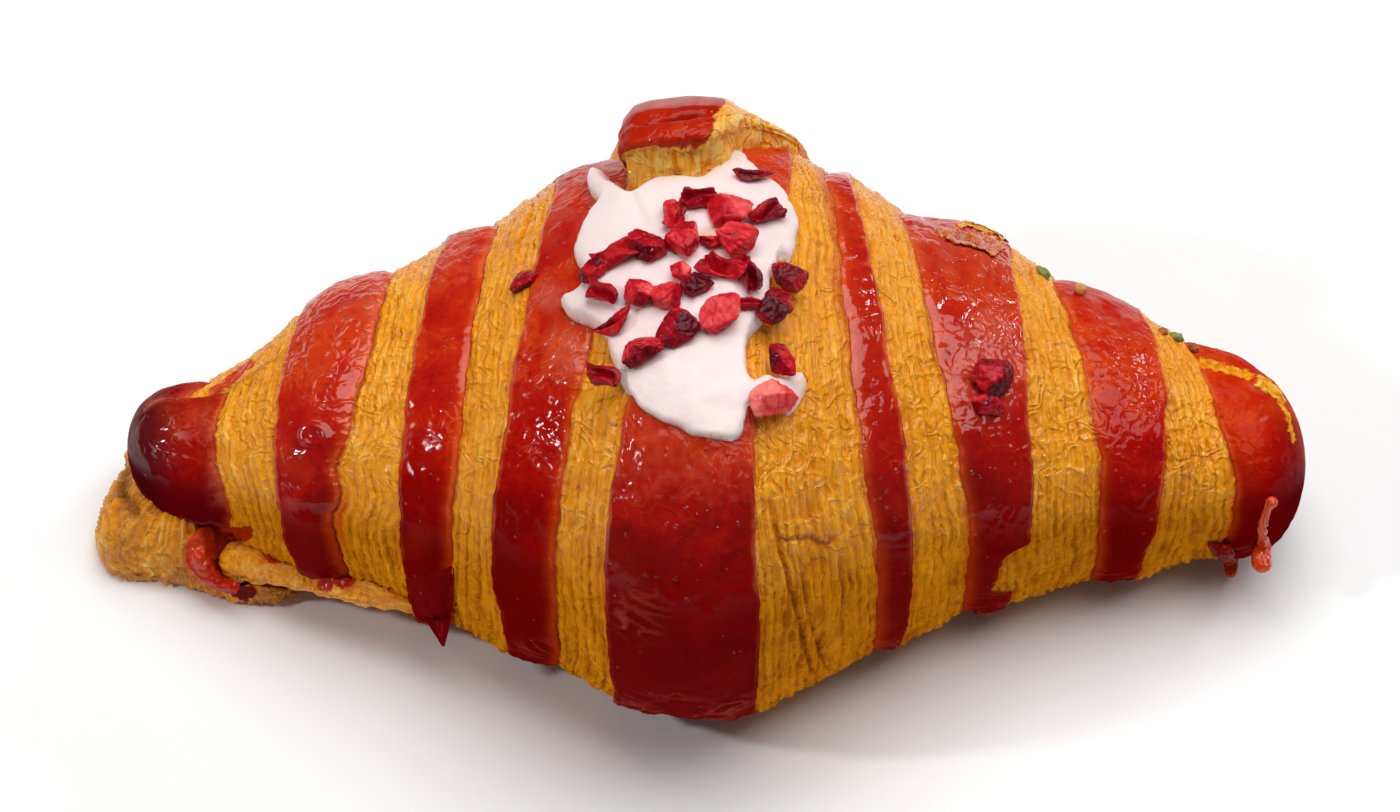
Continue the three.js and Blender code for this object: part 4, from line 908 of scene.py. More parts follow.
# ------------------------------------------------------------------ foot, strand and drips
def rope(points, steps, sides, lumps=0.25, flat=1.0, seed=0):
    """A rope of dough through (x, y, z, r) points, with round ends."""
    c = resample(points, steps)
    pos, r = c[:, :3], c[:, 3]
    tan = np.gradient(pos, axis=0)
    tan /= np.linalg.norm(tan, axis=1, keepdims=True)
    side = np.cross(tan, [0, 0, 1.0])
    side /= np.linalg.norm(side, axis=1, keepdims=True)
    top = np.cross(side, tan)
    s = np.r_[0, np.cumsum(np.linalg.norm(np.diff(pos, axis=0), axis=1))]
    end = np.minimum(s + 0.02, s[-1] - s + 0.02)
    r = r * np.sqrt(np.clip(1 - (1 - np.clip(end / np.maximum(r, 0.1), 0, 1)) ** 2, 0.0004, 1))
    w = np.linspace(0, 2 * np.pi, sides, endpoint=False)
    G = (pos[:, None] + side[:, None] * (np.cos(w)[None, :, None] * r[:, None, None])
         + top[:, None] * (np.sin(w)[None, :, None] * r[:, None, None] * flat))
    n = G - pos[:, None]
    n /= np.linalg.norm(n, axis=-1, keepdims=True) + 1e-9
    W = np.broadcast_to(w[None], G.shape[:2])
    Sg = np.broadcast_to(s[:, None], G.shape[:2])
    d = lumps * (fbm(G[..., 0] / 2.2, G[..., 1] / 2.2, G[..., 2] / 2.2, 3, seed=seed + 3)
                 + 0.9 * noise(np.cos(W) * 2.2, np.sin(W) * 2.2, Sg / 6, seed=seed + 4))
    G = G + n * (d * np.clip(end / 1.0, 0.1, 1)[:, None])[..., None]
    ridge = np.clip(0.5 + 1.1 * d / max(lumps, 1e-3) * 0.5, 0, 1)
    return G, W, Sg, ridge


def rope_piece(name, G, W, Sg, ridge, red, stain=0.0, brown=0.0, zone=0.45, band=30):
    one = np.ones(G.shape[:2])
    attrs = {"red": red * one, "ridge": ridge, "zone": zone * one, "stain": stain * one, "brown": brown * one,
             "rim": 0.0 * one, "strand": np.stack([W * 2.0, Sg, one * band], -1)}
    cols, rows = G.shape[:2]
    verts = np.vstack([G.reshape(-1, 3), G[0].mean(0)[None], G[-1].mean(0)[None]])
    out = {k: (np.vstack([v.reshape(-1, 3), v[0].mean(0)[None], v[-1].mean(0)[None]]) if v.ndim == 3
               else np.append(v.reshape(-1), [v[0].mean(), v[-1].mean()])) for k, v in attrs.items()}
    verts[:, 2] = np.maximum(verts[:, 2], 0.02)
    return finish_piece(name, verts, tube_faces(rows, cols, first=cols * rows, last=cols * rows + 1), out,
                        "croissant", "baked_dough", DOUGH)


def foot():
    """The flattened inner end of the roll: a low dome over a closed outline, layered round its side."""
    out = np.array([(-79.2, 14.8), (-82.2, 10.6), (-83.9, 5.4), (-84.9, 0.0), (-84.6, -4.2), (-82.4, -7.0), (-77.5, -8.0),
                    (-71.5, -9.6), (-66.0, -11.4), (-60.0, -12.0), (-55.5, -6), (-59, 8), (-69, 14.5)], float)
    loop = resample(np.vstack([out, out[:1]]), 261)[:-1]
    th = np.arange(260)
    mid = np.array([-71.0, 1.5])
    side = np.r_[0, np.cumsum(np.linalg.norm(np.diff(np.vstack([loop, loop[:1]]), axis=0), axis=1))][:-1]
    rings, rr, hh = [], [], []
    for t in np.linspace(0.02, 1.0, 46):                 # over the top, out to the rim
        r = np.sin(t * np.pi / 2)
        z = 1.0 + 11.4 * np.sqrt(max(0.0, 1 - r ** 2.8))
        rings.append((r, z, 1.0))
    for t in np.linspace(0, 1, 7)[1:]:                   # and under
        rings.append((1 - 0.12 * t, 1.0 - 1.0 * np.sin(t * np.pi / 2), 1 - t))
    rings.append((0.5, 0.0, 0.0))
    G, Rr, Zz, K = [], [], [], []
    for r, z, k in rings:
        xy = mid + (loop - mid) * r
        G.append(np.column_stack([xy, np.full(len(loop), z)]))
        Rr.append(np.full(len(loop), r)); Zz.append(np.full(len(loop), z)); K.append(np.full(len(loop), k))
    G, Rr, Zz, K = np.array(G), np.array(Rr), np.array(Zz), np.array(K)
    n = grid_normals(G, True)
    if n[20, :, 2].mean() < 0:
        n = -n
    sg = np.broadcast_to(side[None], Rr.shape)
    warp = 0.8 * noise(sg / 6, Zz / 4, seed=91) + 0.4 * noise(sg / 2.4, Zz / 2, seed=92)
    lay = (Zz * 1.0 + (1 - Rr) * 6 + warp) / 1.25
    fr = lay - np.floor(lay)
    pil = np.sqrt(np.clip(1 - (2 * fr - 1) ** 2, 0, 1))
    keep = np.clip(0.5 + 0.8 * noise(np.floor(lay) * 3.3, sg / 5, seed=93), 0, 1)
    X, Y, Z = G[..., 0], G[..., 1], G[..., 2]
    lump = 0.8 * fbm(X / 5, Y / 5, Z / 5, 3, seed=94)
    f1, _, own = cells(X / 1.9, Y / 1.9, Z / 1.9, seed=95)
    pores = np.where(own > 0.62, smooth((0.36 - f1) / 0.2), 0) * smooth((Y + 4) / 4) * (Rr < 0.98)
    hu, hv = seen(G)
    hollow = 1.5 * bell(line_dist(hu, hv, [(126, 470), (122, 492), (134, 512)])[0], 8)
    cxx, cyy = sg / 2.1 + 1.5 * noise(sg / 2.8, Zz / 2.4 + Rr * 3, seed=98), Zz / 1.5 + Rr * 5 + 1.3 * noise(sg / 2.8, Zz / 2.4 + Rr * 3, seed=99)
    worm = np.clip(1 - 4.0 * np.abs(noise(cxx, cyy, 3.0, seed=100)), 0, 1)
    d = (0.26 * pil * keep + lump * 0.8 + 0.62 * worm - 0.45 * pores - hollow) * K
    G = G + n * d[..., None]
    # a valley for the strand that lies over the foot's right side
    ax_l = resample([(-70.5, -7.0), (-66, -8.4), (-60, -9.2), (-54, -10.2)], 60)
    dxy = np.min(np.hypot(G[..., 0][..., None] - ax_l[:, 0], G[..., 1][..., None] - ax_l[:, 1]), axis=-1)
    cap_z = 2.2 + 1.5 * np.clip(dxy - 1.4, 0, None)
    cap_z = cap_z + 14 * smooth((-66.0 - G[..., 0]) / 7.5) ** 1.3
    G[..., 2] = np.minimum(G[..., 2], cap_z)
    G[..., 2] = np.where(K > 0, np.maximum(G[..., 2], 0.0), 0.0)
    # the red strip that comes down over the foot and under the strand's end
    gu, gv = seen(G)
    dist, _ = line_dist(gu, gv, [(240, 528), (206, 546), (209, 566), (226, 580), (246, 592)])
    dist = dist / 7.3
    red = ((dist < 1.2 + 0.4 * noise(sg / 1.6, Zz / 1.6, seed=96)) & (n[..., 2] > -0.3)).astype(float)
    G = G + n * (0.35 * red * K)[..., None]
    # painted shade in the hollow by the cap and in the pores, and darker towards the bottom; zone makes the top
    # lighter, partly as painted top light
    dark_gap = np.minimum(line_dist(gu, gv, [(126, 470), (122, 492), (134, 512)])[0], 40)
    attrs = {"red": red, "ridge": np.clip(0.12 + 0.34 * pil * keep + 0.4 * lump + 0.6 * worm, 0, 1), "rim": 0.0 * red,
             "zone": (0.5 + 0.35 * smooth((Z - 4) / 6)) * (1 - 0.6 * red),
             "stain": 0.45 * bell(dist - 2.6, 0.9), "brown": np.clip(0.12 + 0.3 * noise(X / 6, Y / 6, seed=97) + 0.8 * pores
             + 0.85 * bell(dark_gap, 7) - 0.3 * red + 0.25 * smooth((1.4 - Z) / 1.2), 0, 1) * (1 - 0.7 * red),
             "strand": np.stack([lay * 1.25, sg, Rr * 0 + 40], -1)}
    cols, rows = G.shape[:2]
    verts = np.vstack([G.reshape(-1, 3), G[0].mean(0)[None], [[mid[0], mid[1], 0.0]]])
    outa = {k: (np.vstack([v.reshape(-1, 3), v[0].mean(0)[None], v[-1].mean(0)[None]]) if v.ndim == 3
                else np.append(v.reshape(-1), [v[0].mean(), v[-1].mean()])) for k, v in attrs.items()}
    return verts, tube_faces(rows, cols, first=cols * rows, last=cols * rows + 1), outa


FOOT = foot()
finish_piece("end_foot", *FOOT, "croissant", "baked_dough", DOUGH)



def at_view(px, py, z):
    """Point at height z on the line of sight."""
    d = VIEW_FWD + np.array([1.0, 0, 0]) * (px - 700) / VIEW_F + VIEW_UP * (406 - py) / VIEW_F
    return VIEW_C + d * ((z - VIEW_C[2]) / d[2])


def over_loaf(px, py, out, low=1.0):
    """Point on the line of sight, out (mm) in front of the loaf, or at height low where it misses the loaf."""
    p, n, _, _ = hit(px, py)
    u, v = seen(p[0])
    if abs(v - py) > 3:
        return at_view(px, py, low)
    return p[0] + n[0] * out


pts = [(221, 560, 5.2, 2.2), (231, 561, 5.6, 2.9), (252, 563, 6.4, 2.9), (275, 568, 7.6, 2.4), (300, 575, 8.8, 2.1), (325, 582, 9.8, 1.9)]
strand_pts = [tuple(at_view(u, v, z)) + (r,) for u, v, z, r in pts]
for u, v, r in ((350, 585, 1.8), (375, 590, 1.6), (400, 596, 1.35), (422, 604, 0.7)):
    strand_pts.append(tuple(over_loaf(u, v, 0.30 * r + 0.3, 4.0)) + (r,))
G, W, Sg, ridge = rope(strand_pts, 260, 60, 0.62, seed=110)
su, sv = seen(G)
worm = np.clip(1 - 4.0 * np.abs(noise(W * 1.6 + noise(Sg / 2, W, seed=112), Sg / 1.3, seed=113)), 0, 1)
ridge = np.clip(0.35 + 0.5 * worm + 0.4 * (ridge - 0.5), 0, 1)
spot = np.maximum(bell(np.hypot(su - 276, (sv - 552) * 1.2), 13), bell(np.hypot((su - 337) / 2.2, sv - 581 + 0.18 * (su - 337)), 9)
                  * (noise(G[..., 0] / 1.6, G[..., 2] / 1.2, seed=111) > -0.15))
rope_piece("bottom_strand", G, W, Sg, ridge, (spot > 0.36).astype(float), stain=0.6 * bell(spot - 0.3, 0.2),
           brown=0.04, zone=0.85)


def flap():
    """A thin curved film, wide at the band's lower end and drawn to a point."""
    left = [(407, 560), (412, 584), (420, 608), (431, 629), (442, 646)]
    right = [(451, 556), (452, 578), (453, 600), (450, 622), (445, 646)]
    rows, cols = 34, 18
    L, Rr = resample([(float(a), float(b)) for a, b in left], rows), resample([(float(a), float(b)) for a, b in right], rows)
    w = np.linspace(0, 1, cols)[None, :, None]
    uv = L[:, None] * (1 - w) + Rr[:, None] * w
    u, v = uv[..., 0], uv[..., 1]
    lim = np.minimum(v, 604 + 10 * (u - 409) / 41)
    p, n, hx, hphi = hit(u.ravel(), lim.ravel())
    base = surface_height(hx, hphi)[0].reshape(rows, cols)
    run = np.linspace(0, 1, rows)[:, None]
    lift = base - 0.35 + 0.50 * smooth(run / 0.25) + 0.9 * smooth((run - 0.25) / 0.5) + 0.25 * np.sin(np.pi * w[..., 0]) * smooth(run / 0.4)
    p = (p + n * lift.ravel()[:, None]).reshape(rows, cols, 3)
    n = n.reshape(rows, cols, 3)
    over = np.maximum(v - lim, 0) / 7.3
    d = VIEW_FWD + np.array([1.0, 0, 0]) * ((u - 700) / VIEW_F)[..., None] + VIEW_UP * ((406 - v) / VIEW_F)[..., None]
    z = np.maximum(p[..., 2] - over * 0.45, 2.0)
    q = VIEW_C + d * ((z - VIEW_C[2]) / d[..., 2])[..., None]
    top = np.where((over > 0)[..., None], q, p) + 0.12 * noise(u / 9.0, v / 9.0, seed=121)[..., None] * n
    nn = grid_normals(top, False)
    if nn[..., 2].mean() < 0:
        nn = -nn
    edge_t = np.minimum(np.linspace(0, 1, cols), np.linspace(1, 0, cols))[None, :] * 6
    tip = np.clip((1 - run) * 6, 0.12, 1)
    nn[-4:] = nn[-5:-4].mean(axis=1, keepdims=True)
    nn /= np.linalg.norm(nn, axis=-1, keepdims=True)
    th = (0.5 * tip * np.sqrt(np.clip(edge_t, 0.02, 1)))[..., None]
    return top, top - nn * th


def sheet_piece(name, top, bot, red=1.0, stain=0.0, brown=0.0, zone=0.5, rim=None, ridge=0.5):
    """Close two grids of points into one thin solid."""
    rows, cols = top.shape[:2]
    ids = np.arange(rows * cols).reshape(rows, cols)
    off = rows * cols
    f = []
    for i in range(rows - 1):
        for j in range(cols - 1):
            a, b, c, d = (int(k) for k in (ids[i, j], ids[i + 1, j], ids[i + 1, j + 1], ids[i, j + 1]))
            f.append([a, b, c, d])
            f.append([d + off, c + off, b + off, a + off])
    ring = ([(i, 0) for i in range(rows)] + [(rows - 1, j) for j in range(1, cols)]
            + [(i, cols - 1) for i in range(rows - 2, -1, -1)] + [(0, j) for j in range(cols - 2, 0, -1)])
    for q in range(len(ring)):
        a, b = int(ids[ring[q]]), int(ids[ring[(q + 1) % len(ring)]])
        f.append([a, a + off, b + off, b])
    nn = grid_normals(top, False)
    if np.sum(nn * (top - bot)) < 0:
        f = [list(reversed(k)) for k in f]
    one = np.ones(rows * cols * 2)
    grow = lambda v: np.tile((np.zeros((rows, cols)) + v).ravel(), 2)
    V = np.vstack([top.reshape(-1, 3), bot.reshape(-1, 3)])
    V[:, 2] = np.maximum(V[:, 2], 0.02)
    attrs = {"red": grow(red), "ridge": grow(ridge), "zone": grow(zone), "stain": grow(stain), "brown": grow(brown),
             "rim": grow(0.0 if rim is None else rim), "strand": np.column_stack([V[:, 0], V[:, 1], one * 50])}
    return finish_piece(name, V, f, attrs, "croissant", "baked_dough", DOUGH)


ft, fb = flap()
sheet_piece("red_flap", ft, fb, zone=0.06)


def ribbon(points, half, rows, cols, lift, seed):
    """A strip of red film along view points, lying on the foot; half is its half width in view pixels."""
    c = resample([(float(a), float(b), float(w)) for a, b, w in points], rows)
    t = np.gradient(c[:, :2], axis=0)
    t /= np.linalg.norm(t, axis=1, keepdims=True)
    side = np.column_stack([-t[:, 1], t[:, 0]])
    w = np.linspace(-1, 1, cols)
    uv = c[:, None, :2] + side[:, None] * (w[None, :, None] * half * c[:, None, 2:3])
    uv = uv + 1.3 * noise(uv[..., 0] / 7, uv[..., 1] / 7, seed=seed)[..., None]
    fv = FOOT[0]
    fu, fw = seen(fv)
    dep = (fv - VIEW_C) @ VIEW_FWD
    z = np.zeros(uv.shape[:2])
    for i in range(rows):
        for j in range(cols):
            k = np.hypot(fu - uv[i, j, 0], fw - uv[i, j, 1]) < 7
            z[i, j] = fv[k][np.argmin(dep[k]), 2] if k.any() else 0.6
    for _ in range(3):
        zp = np.pad(z, 1, mode="edge")
        z = (zp[:-2, 1:-1] + zp[2:, 1:-1] + zp[1:-1, :-2] + zp[1:-1, 2:] + 2 * z) / 6
    z = z + lift + 0.10 * (1 - w[None] ** 2) + 0.30 * noise(uv[..., 0] / 6, uv[..., 1] / 6, seed=seed + 1)
    d = VIEW_FWD + np.array([1.0, 0, 0]) * ((uv[..., 0] - 700) / VIEW_F)[..., None] + VIEW_UP * ((406 - uv[..., 1]) / VIEW_F)[..., None]
    top = VIEW_C + d * ((z - VIEW_C[2]) / d[..., 2])[..., None]
    nn = grid_normals(top, False)
    if nn[..., 2].mean() < 0:
        nn = -nn
    edge_t = np.minimum(np.linspace(0, 1, cols), np.linspace(1, 0, cols))[None, :] * 6
    return top, top - nn * (0.35 * np.sqrt(np.clip(edge_t, 0.05, 1)))[..., None]


rt, rb = ribbon([(250, 534, 0.42), (232, 536, 0.72), (212, 544, 1.05), (203, 556, 1.0), (208, 570, 0.72), (221, 582, 0.52), (238, 590, 0.3)],
                18.0, 80, 26, 0.55, 160)
sheet_piece("red_ribbon", rt, rb, zone=0.8, stain=0.95 * smooth((0.85 - np.linspace(0, 1, 80)) / 0.5)[:, None] * np.ones((1, 26)))


def film(corners, rows, cols, out, curl, seed, rag=1.5):
    """A loose patch of film over the loaf: corners of a view quad, lifted out mm, edges curling up by curl."""
    (x0, y0), (x1, y1), (x2, y2), (x3, y3) = corners
    a, b = np.meshgrid(np.linspace(0, 1, rows), np.linspace(0, 1, cols), indexing="ij")
    u = (x0 * (1 - b) + x1 * b) * (1 - a) + (x3 * (1 - b) + x2 * b) * a
    v = (y0 * (1 - b) + y1 * b) * (1 - a) + (y3 * (1 - b) + y2 * b) * a
    e = (np.abs(a - 0.5) * 2) ** 2 + (np.abs(b - 0.5) * 2) ** 2
    u = u + rag * noise(a * 6, b * 6, seed=seed) * e
    v = v + rag * noise(a * 6 + 30, b * 6, seed=seed + 1) * e
    p, n, sx, sp = hit(u.ravel(), v.ravel())
    d0 = np.maximum(surface_height(sx, sp)[0], 0.2)
    N = n.reshape(rows, cols, 3)
    lift = d0.reshape(rows, cols) + out + curl * a ** 3 + 0.14 * noise(u / 8, v / 8, seed=seed + 2)
    top = p.reshape(rows, cols, 3) + N * lift[..., None]
    e1 = np.minimum(np.linspace(0, 1, rows), np.linspace(1, 0, rows))[:, None] * 8
    e2 = np.minimum(np.linspace(0, 1, cols), np.linspace(1, 0, cols))[None, :] * 8
    th = 0.3 * np.sqrt(np.clip(np.minimum(e1, e2), 0.05, 1))
    th = th + (out + 0.5) * (1 - smooth(np.linspace(0, 1, rows) / 0.6))[:, None] * 0.6
    return top, top - N * th[..., None]


# ------------------------------------------------------------------ drips at the right end
pts = [(1269, 497, 0.7), (1269, 500, 1.05), (1267, 506, 0.75), (1265, 514, 0.5), (1263, 524, 0.55), (1262, 535, 0.85),
       (1261, 546, 1.15), (1261, 557, 1.3), (1262, 566, 1.35), (1262, 573, 1.25)]
drip_pts = []
for u, v, r in pts:
    p_, n_, hx_, hp_ = hit(u, v)
    su_, sv_ = seen(p_[0])
    if abs(sv_ - v) > 3:
        drip_pts.append(tuple(at_view(u, v, drip_pts[-1][2] - 0.6)) + (r,))
    else:
        drip_pts.append(tuple(p_[0] + n_[0] * (float(surface_height(hx_, hp_)[0].ravel()[0]) + 0.25 * r)) + (r,))
G, W, Sg, ridge = rope(drip_pts, 130, 34, 0.30, 0.75, seed=130)
rope_piece("drip_long", G, W, Sg, ridge, 1.0, stain=1.0, zone=0.75)
pts = [(1209, 544, 0.3), (1216, 549, 0.9), (1225, 553, 1.25), (1230, 560, 0.9), (1231, 568, 0.85), (1231, 577, 0.6)]
G, W, Sg, ridge = rope([tuple(over_loaf(u, v, 0.1 * r, 2.5)) + (r,) for u, v, r in pts], 80, 30, 0.35, seed=150)
glow = smooth((np.linspace(0, 1, 80) - 0.45) / 0.2)[:, None]
rope_piece("drip_inner", G, W, Sg, ridge, 1.0, stain=0.15 + 0.8 * glow, brown=0.35 * (1 - glow), zone=0.25)


# ------------------------------------------------------------------ loose film on the upper bands
for name, quad, out, curl, st_, br_, red_ in (
        ("film_flake_1", [(932, 228), (1008, 247), (992, 262), (946, 244)], 0.10, 0.42, 0.55, 0.10, 0.62),
        ("film_flake_2", [(955, 227), (1004, 243), (998, 235), (966, 224)], 0.22, 0.25, 0.0, 0.05, 0.0)):
    ft, fb = film(quad, 30, 40, out, curl, 500 + len(name), 3.2)
    ea, eb = np.meshgrid(np.linspace(0, 1, 30), np.linspace(0, 1, 40), indexing="ij")
    border = smooth((0.16 - np.minimum(np.minimum(ea, 1 - ea), np.minimum(eb, 1 - eb))) / 0.12)
    mott = noise(ea * 9, eb * 12, seed=620)
    sheet_piece(name, ft, fb, red=np.clip(red_ * (1 - 0.55 * border) + 0.25 * mott * red_, 0, 1), stain=st_, brown=br_, zone=0.95,
                ridge=np.clip(0.6 + 0.9 * noise(ea * 14, eb * 18, seed=621), 0, 1))


# ------------------------------------------------------------------ icing
ICE_EDGE = [(-14.6, 216.0), (-13.3, 215.5), (-12.5, 213.5), (-11.6, 208.5), (-9.9, 204.5), (-8.7, 202.2), (-7.6, 203.8),
            (-5.8, 205.3), (-3.6, 205.6), (-1.7, 205.4), (-0.6, 205.0), (0.8, 205.6), (1.3, 207.2), (1.5, 210.5),
            (1.9, 213.4), (2.9, 215.8), (4.3, 216.4), (5.6, 214.6), (6.6, 211.3), (7.4, 208.4), (8.0, 206.5), (8.9, 204.0), (10.5, 201.5),
            (11.6, 198.5), (12.5, 195.5), (12.9, 192.5), (12.5, 187.5), (12.1, 184.0), (11.3, 181.0), (10.2, 180.7),
            (9.3, 180.0), (8.9, 177.0), (9.0, 173.5), (7.6, 168.5), (6.3, 166.5), (6.0, 163.5), (6.0, 161.5), (6.2, 158.5),
            (7.3, 158.0), (8.1, 158.8), (9.6, 158.6), (11.0, 158.7), (12.9, 159.5), (13.7, 157.5), (13.7, 155.0),
            (12.5, 151.5), (11.3, 150.0), (10.4, 151.5), (8.9, 152.2), (6.7, 152.0), (6.1, 152.4), (5.8, 150.5),
            (5.4, 147.5), (4.8, 146.0), (4.0, 145.5), (2.5, 146.0), (0.7, 146.5), (-1.1, 147.0), (-2.8, 148.5),
            (-4.6, 149.5), (-6.3, 151.0), (-7.7, 152.5), (-8.4, 154.5), (-9.6, 155.5), (-10.4, 157.5), (-11.0, 160.0),
            (-11.8, 163.5), (-12.1, 165.5), (-12.3, 167.5), (-13.2, 169.0), (-14.8, 171.0), (-16.1, 172.0),
            (-17.3, 173.5), (-18.0, 176.5), (-17.4, 178.0), (-16.2, 178.5), (-15.5, 179.5), (-15.2, 181.5),
            (-16.1, 184.5), (-16.5, 187.5), (-16.0, 191.0), (-15.4, 194.5), (-14.6, 198.0), (-13.8, 200.5),
            (-13.7, 202.5), (-14.7, 207.0), (-15.2, 212.5)]


def signed_distance(px, py, poly):
    """Distance to a closed outline, positive inside."""
    ax, ay = poly[:, 0], poly[:, 1]
    bx, by = np.roll(ax, -1), np.roll(ay, -1)
    best = np.full(px.shape, 1e9)
    inside = np.zeros(px.shape, bool)
    for i in range(len(poly)):
        ex, ey = bx[i] - ax[i], by[i] - ay[i]
        t = np.clip(((px - ax[i]) * ex + (py - ay[i]) * ey) / (ex * ex + ey * ey + 1e-12), 0, 1)
        best = np.minimum(best, np.hypot(px - ax[i] - t * ex, py - ay[i] - t * ey))
        cross = (ay[i] > py) != (by[i] > py)
        xi = ax[i] + (py - ay[i]) * ex / np.where(abs(ey) < 1e-9, 1e-9, ey)
        inside ^= cross & (px < xi)
    return np.where(inside, best, -best)


def icing():
    A = lambda p: np.interp(p, _P0, _A0)
    poly = resample([(x, A(p)) for x, p in ICE_EDGE + ICE_EDGE[:1]], 420)[:-1]
    step = 0.24
    xs = np.arange(-20.5, 16.5, step)
    ss = np.arange(A(142.0), A(219.0), step)
    X, Sg = np.meshgrid(xs, ss, indexing="ij")

    def sd(x, s):
        d = signed_distance(x, s, poly) + 0.16 * noise(x / 1.7, s / 1.7, seed=201)
        hole = np.hypot((x - 10.6) / 0.75, (s - A(181.5)) / 1.2) - 1.0
        return np.minimum(d, hole * 0.9)

    D = sd(X, Sg)
    # pull the points next to the outline onto it
    gx, gs = np.gradient(D, step)
    g2 = gx * gx + gs * gs + 1e-6
    snap = np.abs(D) < 0.75 * step
    X = np.where(snap, X - D * gx / g2, X)
    Sg = np.where(snap, Sg - D * gs / g2, Sg)
    D = np.where(snap, 0.0, D)
    phi = np.interp(Sg, _A0, _P0)
    d0, _ = surface_height(X, phi)
    thick = 1.75 + 0.30 * fbm(X / 6, Sg / 6, 0.0, 2, seed=202)
    thick = thick - 0.5 * smooth((X - 9.5) / 3) * smooth((A(161) - Sg) / 3)          # thin smear at lower right
    thick = thick - 0.35 * bell((X + 8.6) + 0.25 * (Sg - A(199)), 0.7) * smooth((Sg - A(184)) / 5)
    soft = 1.7
    e = np.clip(D / soft, 0, 1)
    T = thick * np.sqrt(np.clip(1 - (1 - e) ** 2, 0, 1)) + 0.10 * fbm(X / 2.6, Sg / 2.6, 0.0, 2, seed=203) * e
    level = lerp(d0, 0.55, smooth(D / 1.5))
    P, N = skin(X, phi), skin_normal(X, phi)
    top = P + N * (level + T)[..., None]
    bot = P + N * (np.minimum(d0, 0.3) - 0.5)[..., None]
    rim = P + N * (d0 - 0.06)[..., None]
    on_rim = D <= 0
    top = np.where(on_rim[..., None], rim, top)
    use = (D >= 0)
    cell = use[:-1, :-1] & use[1:, :-1] & use[1:, 1:] & use[:-1, 1:]
    used = np.zeros(use.shape, bool)
    for a in (slice(None, -1), slice(1, None)):
        for b in (slice(None, -1), slice(1, None)):
            used[a, b] |= cell
    nx, ny = X.shape
    tid = np.full(X.shape, -1)
    tid[used] = np.arange(used.sum())
    nb = int(used.sum())
    # edges used once are the border; the lower sheet hangs from it
    verts = [top[used]]
    bid = np.full(X.shape, -1)
    bid[used] = nb + np.arange(used.sum())
    verts.append(bot[used])
    faces, count = [], {}
    for i, j in zip(*np.where(cell)):
        q = [(i, j), (i + 1, j), (i + 1, j + 1), (i, j + 1)]
        faces.append([int(tid[c]) for c in q])
        faces.append([int(bid[c]) for c in reversed(q)])
        for a, b in zip(q, q[1:] + q[:1]):
            if (b, a) in count:
                del count[(b, a)]
            else:
                count[(a, b)] = 1
    for a, b in count:
        faces.append([int(tid[a]), int(bid[a]), int(bid[b]), int(tid[b])])
    stain = np.zeros(X.shape)
    for i in range(1, 29):
        c = berry_centre(i)
        dist = np.linalg.norm(top - c, axis=-1)
        stain = np.maximum(stain, bell(dist, 2.6) * 0.8)
    thin = smooth((X - 9.8) / 3) * smooth((A(161) - Sg) / 3)
    rimness = bell(D, 0.8)
    iu, iv = seen(top)
    spots = np.maximum(bell(line_dist(iu, iv, [(698, 236), (716, 229)])[0], 6), 0.7 * bell(np.hypot(iu - 568, iv - 277), 7))
    thin = np.maximum(thin, 2.2 * spots)
    at = lambda v: np.r_[v[used], v[used]]
    return (np.vstack(verts), faces, {"stain": at(stain), "thin": at(np.clip(thin + 0.35 * rimness, 0, 2)), "rim": at(rimness)})


def berry_centre(i):
    a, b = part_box("raspberry_piece_%02d" % i)
    return (np.array(a) + np.array(b)) / 2 / MM - SHIFT


def icing_material():
    m = Nodes("icing")
    obj = m.obj()
    soft = m.noise(obj, 160.0, 3.0, 0.5)
    base = m.mix(soft, srgb(250, 234, 230), srgb(244, 220, 218))
    base = m.mix(m.math("MULTIPLY", m.attr("stain"), m.span(m.noise(obj, 380.0, 3.0), 0.35, 0.7, 0.25, 0.7)), base, srgb(238, 176, 190))
    base = m.mix(m.math("MULTIPLY", m.attr("thin"), 0.35), base, srgb(238, 192, 156))
    speck_and_sparkle = m.voronoi(obj, 230.0)
    dot = m.span(speck_and_sparkle["Distance"], 0.07, 0.03)
    base = m.mix(m.math("MULTIPLY", dot, m.span(m.new("ShaderNodeSeparateColor", {"Color": speck_and_sparkle["Color"]}).outputs[1], 0.80, 0.84)), base, srgb(196, 96, 96))
    bump = m.bump(m.noise(obj, 520.0, 2.0, 0.5), 0.00006)
    return m.done(base, m.math("ADD", m.math("MULTIPLY", soft, 0.08), 0.30), bump, Coat_Weight=0.1, Coat_Roughness=0.2,
                  Specular_IOR_Level=0.4, Subsurface_Weight=0.35, Subsurface_Scale=0.0012, Subsurface_Radius=(1.0, 0.6, 0.5))


finish_piece("icing_pool", *icing(), "icing", "icing", icing_material())

